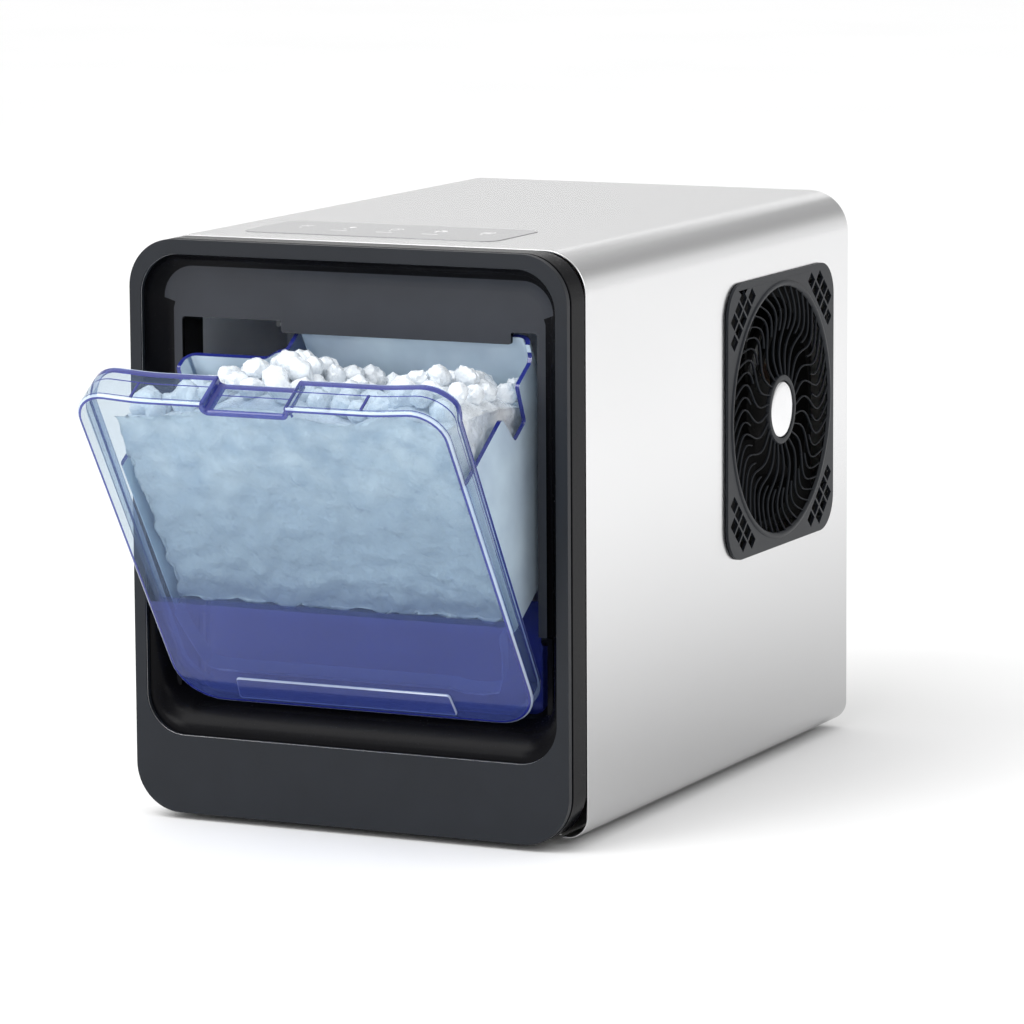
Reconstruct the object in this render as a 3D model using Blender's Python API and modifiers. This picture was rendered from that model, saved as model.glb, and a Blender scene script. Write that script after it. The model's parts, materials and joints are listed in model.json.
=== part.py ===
"""Countertop nugget ice maker with a tilt-out ice bin, built as an assembly of separate pieces.

Run it with: blender --background --python part.py

Every size is in metres. The design frame has its origin at the bottom of the front face, in the
middle: +X to the right, +Y to the back, +Z up. The bin is modelled shut and hangs on an empty at
its hinge, which is turned to the open position.
"""
import math

import bmesh
import bpy
from mathutils import Vector

MM = 0.001
GAP = 0.3 * MM

# Driving dimensions: the housing
BODY_W = 265 * MM
BODY_D = 400 * MM
BODY_H = 320 * MM
FOOT_H = 4 * MM
FRONT_Y = -148.5 * MM          # where the front face lies once the origin is under the middle
HALF_W = BODY_W / 2
FRAME_R = 27 * MM
FRAME_T = 4 * MM
FRAME_SIDE = 7 * MM
FRAME_TOP = 8.1 * MM
FRAME_FOOT = 43.8 * MM
TRIM_END = 24.3 * MM
TRIM_WALL = 3.5 * MM
SHEET = 1 * MM
WRAP_TOP_R = 24 * MM
WRAP_FOOT_R = 12 * MM
WRAP_FLANGE = 15 * MM

# The recess behind the frame and its window
FASCIA_Y = 15 * MM
FASCIA_T = 2.5 * MM
FLAT_HALF_W = 112 * MM
FLAT_LOW = 75 * MM
FLAT_HIGH = 298 * MM
WINDOW_HALF_W = 108 * MM
WINDOW_TOP = 276 * MM
LINTEL_Z = 269.5 * MM
LINTEL_LEFT = -46.5 * MM
LINTEL_RIGHT = 92.5 * MM
SILL_HALF_W = 112.5 * MM
SILL_LOW = 58.5 * MM
SEAM_Z = 111 * MM
JAMB_END = 38.8 * MM

# The tilting bin: t runs up the shut door from its lower edge, n runs back from its face
OPEN_ANGLE = math.radians(33.3)
HINGE_Y = 24 * MM
HINGE_Z = 108.6 * MM
HINGE_T = 33.7 * MM
HINGE_N = 33.5 * MM
DOOR_HALF_W = 110.5 * MM
DOOR_H = 220 * MM
DOOR_R = 26 * MM
DOOR_T = 4 * MM
RIM_T = 3 * MM
RIM_DEPTH = 14 * MM
TOP_RIM_DEPTH = 24 * MM
TRAY_HALF_W = 104 * MM
TRAY_T = 2.5 * MM
TRAY_FRONT = 10 * MM
TRAY_BACK = 122 * MM
TRAY_STEP = 104 * MM
TRAY_FLOOR = 57.5 * MM
PIN_R = 3.5 * MM

# The cooling side
GRILLE_Y = 293 * MM
GRILLE_Z = 202.5 * MM
GRILLE_HALF = 79.5 * MM
GRILLE_R = 20 * MM
GRILLE_T = 2.1 * MM
RING_R = 72.8 * MM
HUB_R = 20.5 * MM
HUB_HOLE = 16.8 * MM
BARREL_X = -75 * MM
BARREL_Y = 195 * MM
COIL_R = 33 * MM
COIL_LOW = 138 * MM
COIL_PITCH = 20 * MM
COIL_TURNS = 6
COMPRESSOR_X = -30 * MM
COMPRESSOR_Y = 300 * MM
DRAIN_X = 72 * MM
DRAIN_Z = 30 * MM
REAR_Y = 397 * MM
REAR_T = 2 * MM

# Finishes: base colour, roughness, metallic, alpha
FINISHES = {
    "steel": ((0.80, 0.80, 0.80), 0.32, 1.0, 1.0),
    "slate": ((0.045, 0.050, 0.058), 0.38, 0.0, 1.0),
    "gloss_black": ((0.010, 0.010, 0.012), 0.12, 0.0, 1.0),
    "dark_grey": ((0.08, 0.085, 0.10), 0.35, 0.0, 1.0),
    "liner": ((0.42, 0.42, 0.43), 0.45, 0.0, 1.0),
    "touch": ((0.50, 0.50, 0.51), 0.25, 0.0, 1.0),
    "circuit": ((0.03, 0.16, 0.07), 0.50, 0.0, 1.0),
    "blue_clear": ((0.30, 0.48, 0.85), 0.08, 0.0, 0.45),
    "tank_blue": ((0.16, 0.20, 0.60), 0.12, 0.0, 0.60),
    "chrome": ((0.85, 0.85, 0.86), 0.10, 1.0, 1.0),
    "copper": ((0.72, 0.32, 0.16), 0.30, 1.0, 1.0),
    "aluminium": ((0.70, 0.71, 0.72), 0.38, 1.0, 1.0),
    "enamel": ((0.015, 0.015, 0.016), 0.35, 0.0, 1.0),
    "rubber": ((0.02, 0.02, 0.02), 0.80, 0.0, 1.0),
    "plain": ((0.75, 0.75, 0.73), 0.50, 0.0, 1.0),
    "zinc": ((0.60, 0.60, 0.58), 0.45, 1.0, 1.0),
    "hose": ((0.80, 0.80, 0.76), 0.40, 0.0, 0.80),
}

# Rotations that stand a flat outline, or a turned profile, across one axis
ACROSS = {"X": (math.pi / 2, 0, math.pi / 2), "Y": (math.pi / 2, 0, 0), "Z": (0, 0, 0)}
TURNED = {"X": (0, math.pi / 2, 0), "Y": (-math.pi / 2, 0, 0), "Z": (0, 0, 0)}


# ---------------------------------------------------------------- scene helpers
def clear_scene():
    for obj in list(bpy.data.objects):
        bpy.data.objects.remove(obj, do_unlink=True)


def new_collection(name):
    made = bpy.data.collections.new(name)
    bpy.context.scene.collection.children.link(made)
    return made


def new_empty(name, parent=None, location=(0, 0, 0), tilt=0.0):
    made = bpy.data.objects.new(name, None)
    PARTS.objects.link(made)
    made.parent = parent
    made.location = location
    made.rotation_euler.x = tilt
    return made


def paint(obj, finish):
    """Give the object a material of its own with the named finish."""
    colour, roughness, metallic, alpha = FINISHES[finish]
    made = bpy.data.materials.new(obj.name)
    made.use_nodes = True
    shader = made.node_tree.nodes["Principled BSDF"]
    shader.inputs["Base Color"].default_value = (*colour, 1.0)
    shader.inputs["Roughness"].default_value = roughness
    shader.inputs["Metallic"].default_value = metallic
    shader.inputs["Alpha"].default_value = alpha
    made.diffuse_color = (*colour, alpha)
    obj.data.materials.clear()
    obj.data.materials.append(made)


def place(obj, finish, parent=None):
    """Put a piece in the assembly; with no finish it is a cutter or a piece to be joined."""
    obj.parent = parent or BODY
    if finish:
        PARTS.objects.link(obj)
        paint(obj, finish)
    else:
        CUTTERS.objects.link(obj)
        obj.hide_render = True
        obj.display_type = "WIRE"
    return obj


def smooth(obj, angle=35):
    obj.data.shade_smooth()
    obj.data.set_sharp_from_angle(angle=math.radians(angle))
    return obj


def boolean(obj, other, operation="DIFFERENCE"):
    step = obj.modifiers.new(operation.lower(), "BOOLEAN")
    step.operation = operation
    step.object = other
    return obj


def bevel(obj, width, segments=2, angle=40):
    step = obj.modifiers.new("bevel", "BEVEL")
    step.width = width
    step.segments = segments
    step.limit_method = "ANGLE"
    step.angle_limit = math.radians(angle)
    return obj


# ---------------------------------------------------------------- shape helpers
def arc(cx, cy, radius, start, end, steps):
    """Points on an arc; the angles are in degrees."""
    turn = [math.radians(start + (end - start) * i / steps) for i in range(steps + 1)]
    return [(cx + radius * math.cos(a), cy + radius * math.sin(a)) for a in turn]


def circle(cx, cy, radius, steps=32):
    return arc(cx, cy, radius, 0, 360, steps)[:-1]


def rounded_rect(low_x, high_x, low_y, high_y, radius, steps=6):
    return (arc(high_x - radius, low_y + radius, radius, -90, 0, steps)
            + arc(high_x - radius, high_y - radius, radius, 0, 90, steps)
            + arc(low_x + radius, high_y - radius, radius, 90, 180, steps)
            + arc(low_x + radius, low_y + radius, radius, 180, 270, steps))


def rect(low_x, high_x, low_y, high_y):
    return [(low_x, low_y), (high_x, low_y), (high_x, high_y), (low_x, high_y)]


def curve_to_mesh(curve):
    """Swap a curve object for a mesh object with its caps welded on."""
    view = bpy.context.evaluated_depsgraph_get()
    mesh = bpy.data.meshes.new_from_object(curve.evaluated_get(view))
    work = bmesh.new()
    work.from_mesh(mesh)
    bmesh.ops.remove_doubles(work, verts=work.verts, dist=0.01 * MM)
    bmesh.ops.recalc_face_normals(work, faces=work.faces)
    work.to_mesh(mesh)
    work.free()
    mesh.materials.clear()
    name = curve.name
    made = bpy.data.objects.new(name + "_mesh", mesh)
    made.matrix_world = curve.matrix_world
    data = curve.data
    bpy.data.objects.remove(curve, do_unlink=True)
    bpy.data.curves.remove(data)
    made.name = name
    return made


def plate(name, outlines, axis, low, high, finish=None, parent=None):
    """Flat outlines across an axis, the first with the others as holes, extruded from low to high."""
    data = bpy.data.curves.new(name, "CURVE")
    data.dimensions = "2D"
    data.fill_mode = "BOTH"
    data.extrude = (high - low) / 2
    for outline in outlines:
        spline = data.splines.new("POLY")
        spline.points.add(len(outline) - 1)
        for point, (x, y) in zip(spline.points, outline):
            point.co = (x, y, 0, 1)
        spline.use_cyclic_u = True
    curve = bpy.data.objects.new(name, data)
    curve.rotation_euler = ACROSS[axis]
    curve.location["XYZ".index(axis)] = (low + high) / 2
    bpy.context.scene.collection.objects.link(curve)
    bpy.context.view_layer.update()
    return place(curve_to_mesh(curve), finish, parent)


def box(name, low, high, finish=None, parent=None):
    low, high = Vector(low), Vector(high)
    work = bmesh.new()
    bmesh.ops.create_cube(work, size=1.0)
    bmesh.ops.scale(work, vec=high - low, verts=work.verts)
    mesh = bpy.data.meshes.new(name)
    work.to_mesh(mesh)
    work.free()
    made = bpy.data.objects.new(name, mesh)
    made.location = (low + high) / 2
    return place(made, finish, parent)


def turned(name, profile, axis, location, finish=None, parent=None, steps=32, closed=False):
    """Turn a profile of (radius, height) points, listed from its top down, about an axis."""
    mesh = bpy.data.meshes.new(name)
    count = len(profile)
    edges = [(i, i + 1) for i in range(count - 1)]
    if closed:
        edges.append((count - 1, 0))
    mesh.from_pydata([(r, 0, h) for r, h in profile], edges, [])
    made = bpy.data.objects.new(name, mesh)
    made.location = location
    made.rotation_euler = TURNED[axis]
    place(made, finish, parent)
    screw = made.modifiers.new("turn", "SCREW")
    screw.steps = steps
    screw.render_steps = steps
    screw.use_merge_vertices = True
    screw.merge_threshold = 0.01 * MM
    return made


def cylinder(name, radius, axis, low, high, centre, finish=None, parent=None, steps=32):
    """A solid cylinder from low to high along an axis; centre gives its other two coordinates."""
    where = list(centre)
    where.insert("XYZ".index(axis), 0.0)
    return turned(name, [(0, high), (radius, high), (radius, low), (0, low)], axis, where,
                  finish, parent, steps)


def ring(name, outer, inner, axis, low, high, centre, finish=None, parent=None, steps=32):
    """A solid tube from low to high along an axis."""
    where = list(centre)
    where.insert("XYZ".index(axis), 0.0)
    profile = [(inner, high), (outer, high), (outer, low), (inner, low)]
    return turned(name, profile, axis, where, finish, parent, steps, closed=True)


def route(points, per_span=6):
    """A smooth line through the given points."""
    padded = [points[0]] + list(points) + [points[-1]]
    path = []
    for before, start, end, after in zip(padded, padded[1:], padded[2:], padded[3:]):
        before, start, end, after = (Vector(p) for p in (before, start, end, after))
        for i in range(per_span):
            u = i / per_span
            path.append(0.5 * (2 * start + (end - before) * u
                               + (2 * before - 5 * start + 4 * end - after) * u ** 2
                               + (3 * start - before - 3 * end + after) * u ** 3))
    path.append(Vector(points[-1]))
    return path


def tube(name, path, radius, finish=None, parent=None, resolution=2):
    """A round bar along a line of points."""
    data = bpy.data.curves.new(name, "CURVE")
    data.dimensions = "3D"
    data.bevel_depth = radius
    data.bevel_resolution = resolution
    data.use_fill_caps = True
    spline = data.splines.new("POLY")
    spline.points.add(len(path) - 1)
    for point, place_of in zip(spline.points, path):
        point.co = (*place_of, 1)
    curve = bpy.data.objects.new(name, data)
    bpy.context.scene.collection.objects.link(curve)
    bpy.context.view_layer.update()
    return smooth(place(curve_to_mesh(curve), finish, parent))


def loft(name, sections, finish=None, parent=None, closed_ends=True):
    """Join sections with the same number of points; closed ends make a solid."""
    work = bmesh.new()
    rows = [[work.verts.new(p) for p in section] for section in sections]
    count = len(rows[0])
    for row, following in zip(rows, rows[1:]):
        for i in range(count):
            j = (i + 1) % count
            work.faces.new((row[i], row[j], following[j], following[i]))
    work.faces.new(rows[-1])
    if closed_ends:
        work.faces.new(reversed(rows[0]))
    bmesh.ops.recalc_face_normals(work, faces=work.faces)
    mesh = bpy.data.meshes.new(name)
    work.to_mesh(mesh)
    work.free()
    return place(bpy.data.objects.new(name, mesh), finish, parent)


# ---------------------------------------------------------------- housing
def build_front_frame():
    outer = rounded_rect(-HALF_W, HALF_W, 0, BODY_H, FRAME_R, 7)
    inner = rounded_rect(-HALF_W + FRAME_SIDE, HALF_W - FRAME_SIDE, FRAME_FOOT,
                         BODY_H - FRAME_TOP, 23 * MM, 7)
    frame = plate("front_frame", [outer, inner], "Y", 0, FRAME_T, "slate")
    bevel(frame, 0.8 * MM, 1)


def build_trim_ring():
    start = FRAME_T + GAP
    outer = rounded_rect(-HALF_W, HALF_W, 0, BODY_H, FRAME_R, 7)
    inner = rounded_rect(-HALF_W + TRIM_WALL, HALF_W - TRIM_WALL, TRIM_WALL, BODY_H - TRIM_WALL,
                         FRAME_R - TRIM_WALL, 7)
    trim = plate("trim_ring", [outer, inner], "Y", start, TRIM_END, "gloss_black")
    groove = 1.5 * MM
    around = rounded_rect(-HALF_W - groove, HALF_W + groove, -groove, BODY_H + groove,
                          FRAME_R + groove, 7)
    neck = rounded_rect(-HALF_W + groove, HALF_W - groove, groove, BODY_H - groove,
                        FRAME_R - groove, 7)
    boolean(trim, plate("shadow_groove", [around, neck], "Y", start - groove, start + groove))


def wrap_path(inset):
    """Half of the folded sheet's section, from its right flange up to the middle of the top."""
    foot, top = WRAP_FOOT_R - inset, WRAP_TOP_R - inset
    edge = HALF_W - inset
    return ([(HALF_W - WRAP_FLANGE, inset)]
            + arc(edge - foot, inset + foot, foot, -90, 0, 5)
            + arc(edge - top, BODY_H - inset - top, top, 0, 90, 8))


def build_steel_wrap():
    outer, inner = wrap_path(0), wrap_path(SHEET)
    section = (outer + [(-x, z) for x, z in reversed(outer)]
               + [(-x, z) for x, z in inner] + [(x, z) for x, z in reversed(inner)])
    wrap = plate("steel_wrap", [section], "Y", TRIM_END + GAP, BODY_D, "steel")
    hole = GRILLE_HALF - 4 * MM
    vent = rounded_rect(GRILLE_Y - hole, GRILLE_Y + hole, GRILLE_Z - hole, GRILLE_Z + hole,
                        GRILLE_R - 4 * MM)
    boolean(wrap, plate("grille_hole", [vent], "X", HALF_W - 5 * MM, HALF_W + 5 * MM))
    boolean(wrap, plate("panel_hole", [panel_outline(GAP)], "Z", BODY_H - 5 * MM, BODY_H + 5 * MM))
    slots = [rounded_rect(y, y + 5 * MM, 60 * MM, 130 * MM, 2.4 * MM, 2)
             for y in (210 * MM + 14 * MM * i for i in range(9))]
    for i, slot in enumerate(slots):
        boolean(wrap, plate(f"intake_slot_{i}", [slot], "X", -HALF_W - 5 * MM, -HALF_W + 5 * MM))


def panel_outline(margin):
    return rounded_rect(-91 * MM - margin, 64.5 * MM + margin, 52 * MM - margin,
                        116 * MM + margin, 9 * MM, 5)


def build_control():
    plate("control_panel", [panel_outline(0)], "Z", BODY_H - 2.6 * MM, BODY_H + 0.3 * MM, "touch")
    low = BODY_H - 17 * MM
    board = plate("control_board", [rect(-84 * MM, 58 * MM, 57 * MM, 111 * MM)], "Z", low,
                  low + 1.6 * MM, "circuit")
    chips = [(-70, 66, 18, 14, 5), (-30, 70, 12, 12, 3), (0, 62, 26, 20, 9), (38, 84, 12, 20, 7),
             (-60, 92, 30, 10, 4)]
    for i, (x, y, wide, deep, tall) in enumerate(chips):
        chip = box(f"chip_{i}", (x * MM, y * MM, low + MM),
                   ((x + wide) * MM, (y + deep) * MM, low + (1.6 + tall) * MM))
        boolean(board, chip, "UNION")


def recess_loop(share, y):
    """One loop of the recess: share 0 is the frame's inner edge, 1 is the flat face."""
    def mix(start, end):
        return start + (end - start) * share
    half = mix(HALF_W - FRAME_SIDE, FLAT_HALF_W)
    outline = rounded_rect(-half, half, mix(FRAME_FOOT, FLAT_LOW),
                           mix(BODY_H - FRAME_TOP, FLAT_HIGH), mix(23 * MM, 14 * MM), 6)
    return [(x, y, z) for x, z in outline]


def recess_shell(name, finish):
    """The moulded recess: a flange behind the frame, a cove all round and a flat face."""
    front = FRAME_T + GAP
    lip = 2.5 * MM
    flange = rounded_rect(-HALF_W + FRAME_SIDE - lip, HALF_W - FRAME_SIDE + lip, FRAME_FOOT - lip,
                          BODY_H - FRAME_TOP + lip, 23 * MM + lip, 6)
    sections = [[(x, front, z) for x, z in flange], recess_loop(0, front)]
    steps = 5
    for i in range(1, steps + 1):
        turn = math.radians(90) * i / steps
        depth = front + (FASCIA_Y - front) * math.sin(turn)
        sections.append(recess_loop(1 - math.cos(turn), depth))
    shell = loft(name, sections, finish, closed_ends=False)
    if shell.data.polygons[-1].normal.y > 0:
        shell.data.flip_normals()
    thick = shell.modifiers.new("thickness", "SOLIDIFY")
    thick.thickness = FASCIA_T
    thick.offset = -1
    return shell


def hinge_bore(name):
    return cylinder(name, PIN_R + GAP, "X", -HALF_W, HALF_W, (HINGE_Y, HINGE_Z), steps=24)


def build_recess():
    far = 200 * MM
    bore = hinge_bore("hinge_bore")
    fascia = recess_shell("fascia", "dark_grey")
    window = [(-WINDOW_HALF_W, FLAT_LOW), (WINDOW_HALF_W, FLAT_LOW), (WINDOW_HALF_W, WINDOW_TOP),
              (LINTEL_RIGHT, WINDOW_TOP), (LINTEL_RIGHT, LINTEL_Z), (LINTEL_LEFT, LINTEL_Z),
              (LINTEL_LEFT, WINDOW_TOP), (-WINDOW_HALF_W, WINDOW_TOP)]
    boolean(fascia, plate("window_cut", [window], "Y", 0, 30 * MM))
    boolean(fascia, box("below_seam", (-far, -far, -far), (far, far, SEAM_Z + GAP / 2)))
    sill = recess_shell("lower_sill", "gloss_black")
    opening = rounded_rect(-SILL_HALF_W, SILL_HALF_W, SILL_LOW, 150 * MM, 16 * MM)
    boolean(sill, plate("sill_cut", [opening], "Y", 0, 30 * MM))
    boolean(sill, box("above_seam", (-far, -far, SEAM_Z - GAP / 2), (far, far, far * 2)))
    start = FASCIA_Y + 1.5 * MM
    for side, sign in (("left", -1), ("right", 1)):
        jamb = [sign * WINDOW_HALF_W, sign * (WINDOW_HALF_W + 2.5 * MM)]
        boolean(fascia, box(f"fascia_jamb_{side}", (min(jamb), start, SEAM_Z + GAP / 2),
                            (max(jamb), JAMB_END, 280 * MM)), "UNION")
        cheek = [sign * SILL_HALF_W, sign * (SILL_HALF_W + 3 * MM)]
        boolean(sill, box(f"sill_cheek_{side}", (min(cheek), start, SILL_LOW),
                          (max(cheek), JAMB_END, SEAM_Z - GAP / 2)), "UNION")
        ear = box(f"sill_ear_{side}", (min(cheek), FASCIA_Y + FASCIA_T + GAP, SEAM_Z - 5 * MM),
                  (max(cheek), JAMB_END, SEAM_Z + 9 * MM))
        boolean(sill, ear, "UNION")
    boolean(fascia, bore)
    boolean(sill, bore)


def build_base():
    pan = box("base_pan", (-116 * MM, 26 * MM, 1.2 * MM), (116 * MM, 394 * MM, 14 * MM), "zinc")
    boolean(pan, box("pan_hollow", (-114.8 * MM, 27.2 * MM, 2.4 * MM),
                     (114.8 * MM, 392.8 * MM, 30 * MM)))
    profile = [(0, 0.9 * MM), (10 * MM, 0.9 * MM), (11 * MM, -2 * MM), (10 * MM, -FOOT_H),
               (0, -FOOT_H)]
    spots = {"front_left": (-95, 50), "front_right": (95, 50), "rear_left": (-95, 365),
             "rear_right": (95, 365)}
    for name, (x, y) in spots.items():
        smooth(turned(f"foot_{name}", profile, "Z", (x * MM, y * MM, 0), "rubber", steps=24))


def build_rear():
    edge = HALF_W - SHEET - GAP
    outline = rounded_rect(-edge, edge, 1.6 * MM, BODY_H - SHEET - GAP, WRAP_TOP_R - SHEET, 8)
    slots = [rounded_rect(x, x + 36 * MM, z, z + 4.5 * MM, 2 * MM, 2)
             for x in (-95 * MM, -50 * MM) for z in (170 * MM + 13 * MM * i for i in range(6))]
    screws = [(x * MM, z * MM) for x in (-118, 118) for z in (20, 285)]
    holes = [circle(x, z, 2.3 * MM, 14) for x, z in screws]
    inlet = rect(70.7 * MM, 101.3 * MM, 62.7 * MM, 85.3 * MM)
    drain = circle(DRAIN_X, DRAIN_Z, 7.4 * MM, 24)
    plate("rear_cover", [outline, inlet, drain] + slots + holes, "Y", REAR_Y, REAR_Y + REAR_T,
          "zinc")
    screw_profile = [(0, 2.6 * MM), (2.4 * MM, 2.4 * MM), (4 * MM, 1.4 * MM), (4.2 * MM, GAP),
                     (2 * MM, GAP), (2 * MM, -8 * MM), (0, -9 * MM)]
    for i, (x, z) in enumerate(screws):
        where = (x, REAR_Y + REAR_T, z)
        screw = smooth(turned(f"rear_screw_{i + 1}", screw_profile, "Y", where, "chrome", steps=14))
        for turn, (wide, tall) in enumerate(((0.9, 4.4), (4.4, 0.9))):
            size = Vector((wide / 2, 1.2, tall / 2)) * MM
            middle = Vector(where) + Vector((0, 2.4 * MM, 0))
            boolean(screw, box(f"cross_{i}_{turn}", middle - size, middle + size))


def build_power_inlet():
    """A standard three-pin appliance inlet: body behind the cover, flange outside it."""
    low_y, face = 372 * MM, REAR_Y + REAR_T + GAP
    body = box("power_inlet", (71 * MM, low_y, 63 * MM), (101 * MM, face + MM, 85 * MM), "enamel")
    flange = rounded_rect(64 * MM, 108 * MM, 60 * MM, 88 * MM, 4 * MM, 4)
    boolean(body, plate("inlet_flange", [flange], "Y", face, face + 2.5 * MM), "UNION")
    well = [(74, 66), (98, 66), (98, 78), (94, 82), (78, 82), (74, 78)]
    well = [(x * MM, z * MM) for x, z in well]
    boolean(body, plate("inlet_well", [well], "Y", low_y + 10 * MM, face + 10 * MM))
    for i, (x, z) in enumerate(((79, 71), (86, 75), (93, 71))):
        pin = box(f"inlet_pin_{i}", ((x - 1) * MM, low_y + 5 * MM, (z - 2) * MM),
                  ((x + 1) * MM, face - 4 * MM, (z + 2) * MM))
        boolean(body, pin, "UNION")


# ---------------------------------------------------------------- side grille and fan
def rib_angle(start, radius):
    """A rib's direction at a radius: an S between the hub and the ring."""
    share = (radius - HUB_R) / (RING_R - HUB_R)
    return start + math.radians(13) * math.sin(2 * math.pi * share)


def rib_edge(start, side, low, high, steps):
    """One side of a rib, as points in the grille's plane."""
    half = 0.55 * MM
    points = []
    for i in range(steps + 1):
        radius = low + (high - low) * i / steps
        angle = rib_angle(start, radius) + side * half / radius
        points.append((GRILLE_Y + radius * math.cos(angle), GRILLE_Z + radius * math.sin(angle)))
    return points


def grille_gap(index, count):
    """The opening between two long ribs, with a short rib reaching in from the ring."""
    pitch = 2 * math.pi / count
    start = pitch * index
    middle = HUB_R + 0.5 * (RING_R - HUB_R)
    short = start + pitch / 2
    return (rib_edge(start, 1, HUB_R, RING_R, 6)
            + list(reversed(rib_edge(short, -1, middle, RING_R, 3)))
            + rib_edge(short, 1, middle, RING_R, 3)
            + list(reversed(rib_edge(start + pitch, -1, HUB_R, RING_R, 6))))


def corner_diamonds():
    """Clusters of small diamond holes in the four corners."""
    holes = []
    size = 2.6 * MM
    for sign_y in (-1, 1):
        for sign_z in (-1, 1):
            for row in range(3):
                for k in range(3 - row):
                    y = GRILLE_Y + sign_y * (GRILLE_HALF - 9 * MM - row * 7 * MM)
                    z = GRILLE_Z + sign_z * (GRILLE_HALF - 13 * MM - k * 9 * MM - row * 1 * MM)
                    holes.append([(y - size, z), (y, z - 1.4 * size), (y + size, z),
                                  (y, z + 1.4 * size)])
    return holes


def build_grille():
    outline = rounded_rect(GRILLE_Y - GRILLE_HALF, GRILLE_Y + GRILLE_HALF, GRILLE_Z - GRILLE_HALF,
                           GRILLE_Z + GRILLE_HALF, GRILLE_R, 7)
    gaps = [grille_gap(i, 20) for i in range(20)]
    hub = circle(GRILLE_Y, GRILLE_Z, HUB_HOLE, 28)
    low = HALF_W + GAP
    plate("side_grille", [outline, hub] + gaps + corner_diamonds(), "X", low, low + GRILLE_T, "slate")
    disc = [(0, 2.5 * MM), (10 * MM, 2.45 * MM), (15.7 * MM, 2.1 * MM), (16.4 * MM, 1.5 * MM),
            (16.4 * MM, 0), (0, 0)]
    smooth(turned("hub_disc", disc, "X", (low, GRILLE_Y, GRILLE_Z), "chrome"))


def build_fan():
    low, high = 100 * MM, 124 * MM
    half = 70 * MM
    outer = rounded_rect(GRILLE_Y - half, GRILLE_Y + half, GRILLE_Z - half, GRILLE_Z + half,
                         8 * MM, 4)
    frame = plate("fan_frame", [outer, circle(GRILLE_Y, GRILLE_Z, 66 * MM, 40)], "X", low, high,
                  "enamel")
    struts = 4
    sectors = []
    for i in range(struts):
        start = 45 + 90 * i
        inside = arc(GRILLE_Y, GRILLE_Z, 20 * MM, start + 10, start + 80, 5)
        outside = arc(GRILLE_Y, GRILLE_Z, 65 * MM, start + 3, start + 87, 10)
        sectors.append(inside + list(reversed(outside)))
    spider = plate("fan_spider", [circle(GRILLE_Y, GRILLE_Z, 67.5 * MM, 40)] + sectors, "X", low,
                   low + 3 * MM)
    boolean(frame, spider, "UNION")
    centre = (0, GRILLE_Y, GRILLE_Z)
    hub = [(0, 122 * MM), (17 * MM, 122 * MM), (19 * MM, 120 * MM), (19 * MM, 104 * MM),
           (0, 104 * MM)]
    rotor = turned("fan_rotor", hub, "X", centre, "enamel", steps=28)
    blades = 7
    for i in range(blades):
        sections = []
        for k in range(4):
            radius = (17 + 15.6 * k) * MM
            pitch = math.radians(48 - 6 * k)
            half_chord = (8 + 2.4 * k) * MM
            sections.append([blade_point(radius, 2 * math.pi * i / blades, pitch, chord, thick)
                             for chord, thick in ((-half_chord, -0.8 * MM), (half_chord, -0.8 * MM),
                                                  (half_chord, 0.8 * MM), (-half_chord, 0.8 * MM))])
        boolean(rotor, loft(f"blade_{i}", sections), "UNION")


def blade_point(radius, angle, pitch, chord, thick):
    """A corner of a blade's section, which is pitched about the blade's own radius."""
    along = 113 * MM + chord * math.cos(pitch) * 0.6 - thick * math.sin(pitch)
    across = chord * math.sin(pitch) + thick * math.cos(pitch)
    turn = angle + across / radius
    return (along, GRILLE_Y + radius * math.cos(turn), GRILLE_Z + radius * math.sin(turn))


# ---------------------------------------------------------------- refrigeration
def build_condenser():
    low_y, high_y, low_z, high_z = 233 * MM, 353 * MM, 143 * MM, 262 * MM
    slots = [rect(y, y + 3.4 * MM, low_z + 5 * MM, high_z - 5 * MM)
             for y in (low_y + 4.5 * MM + 5.6 * MM * i for i in range(20))]
    plate("condenser_fins", [rect(low_y, high_y, low_z, high_z)] + slots, "X", 70 * MM, 94 * MM,
          "aluminium")
    passes, pitch, x = 6, 19 * MM, 64 * MM
    path = [(x, 228 * MM, 250 * MM)]
    for i in range(passes):
        z = 250 * MM - pitch * i
        outward = i % 2 == 0
        path.append((x, (358 if outward else 228) * MM, z))
        if i < passes - 1:
            middle = (358 if outward else 228) * MM
            bend = arc(0, z - pitch / 2, pitch / 2, 90, -90, 8)[1:]
            path += [(x, middle + (dy if outward else -dy), dz) for dy, dz in bend]
    tube("condenser_tube", path, 3 * MM, "copper", resolution=1)


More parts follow.
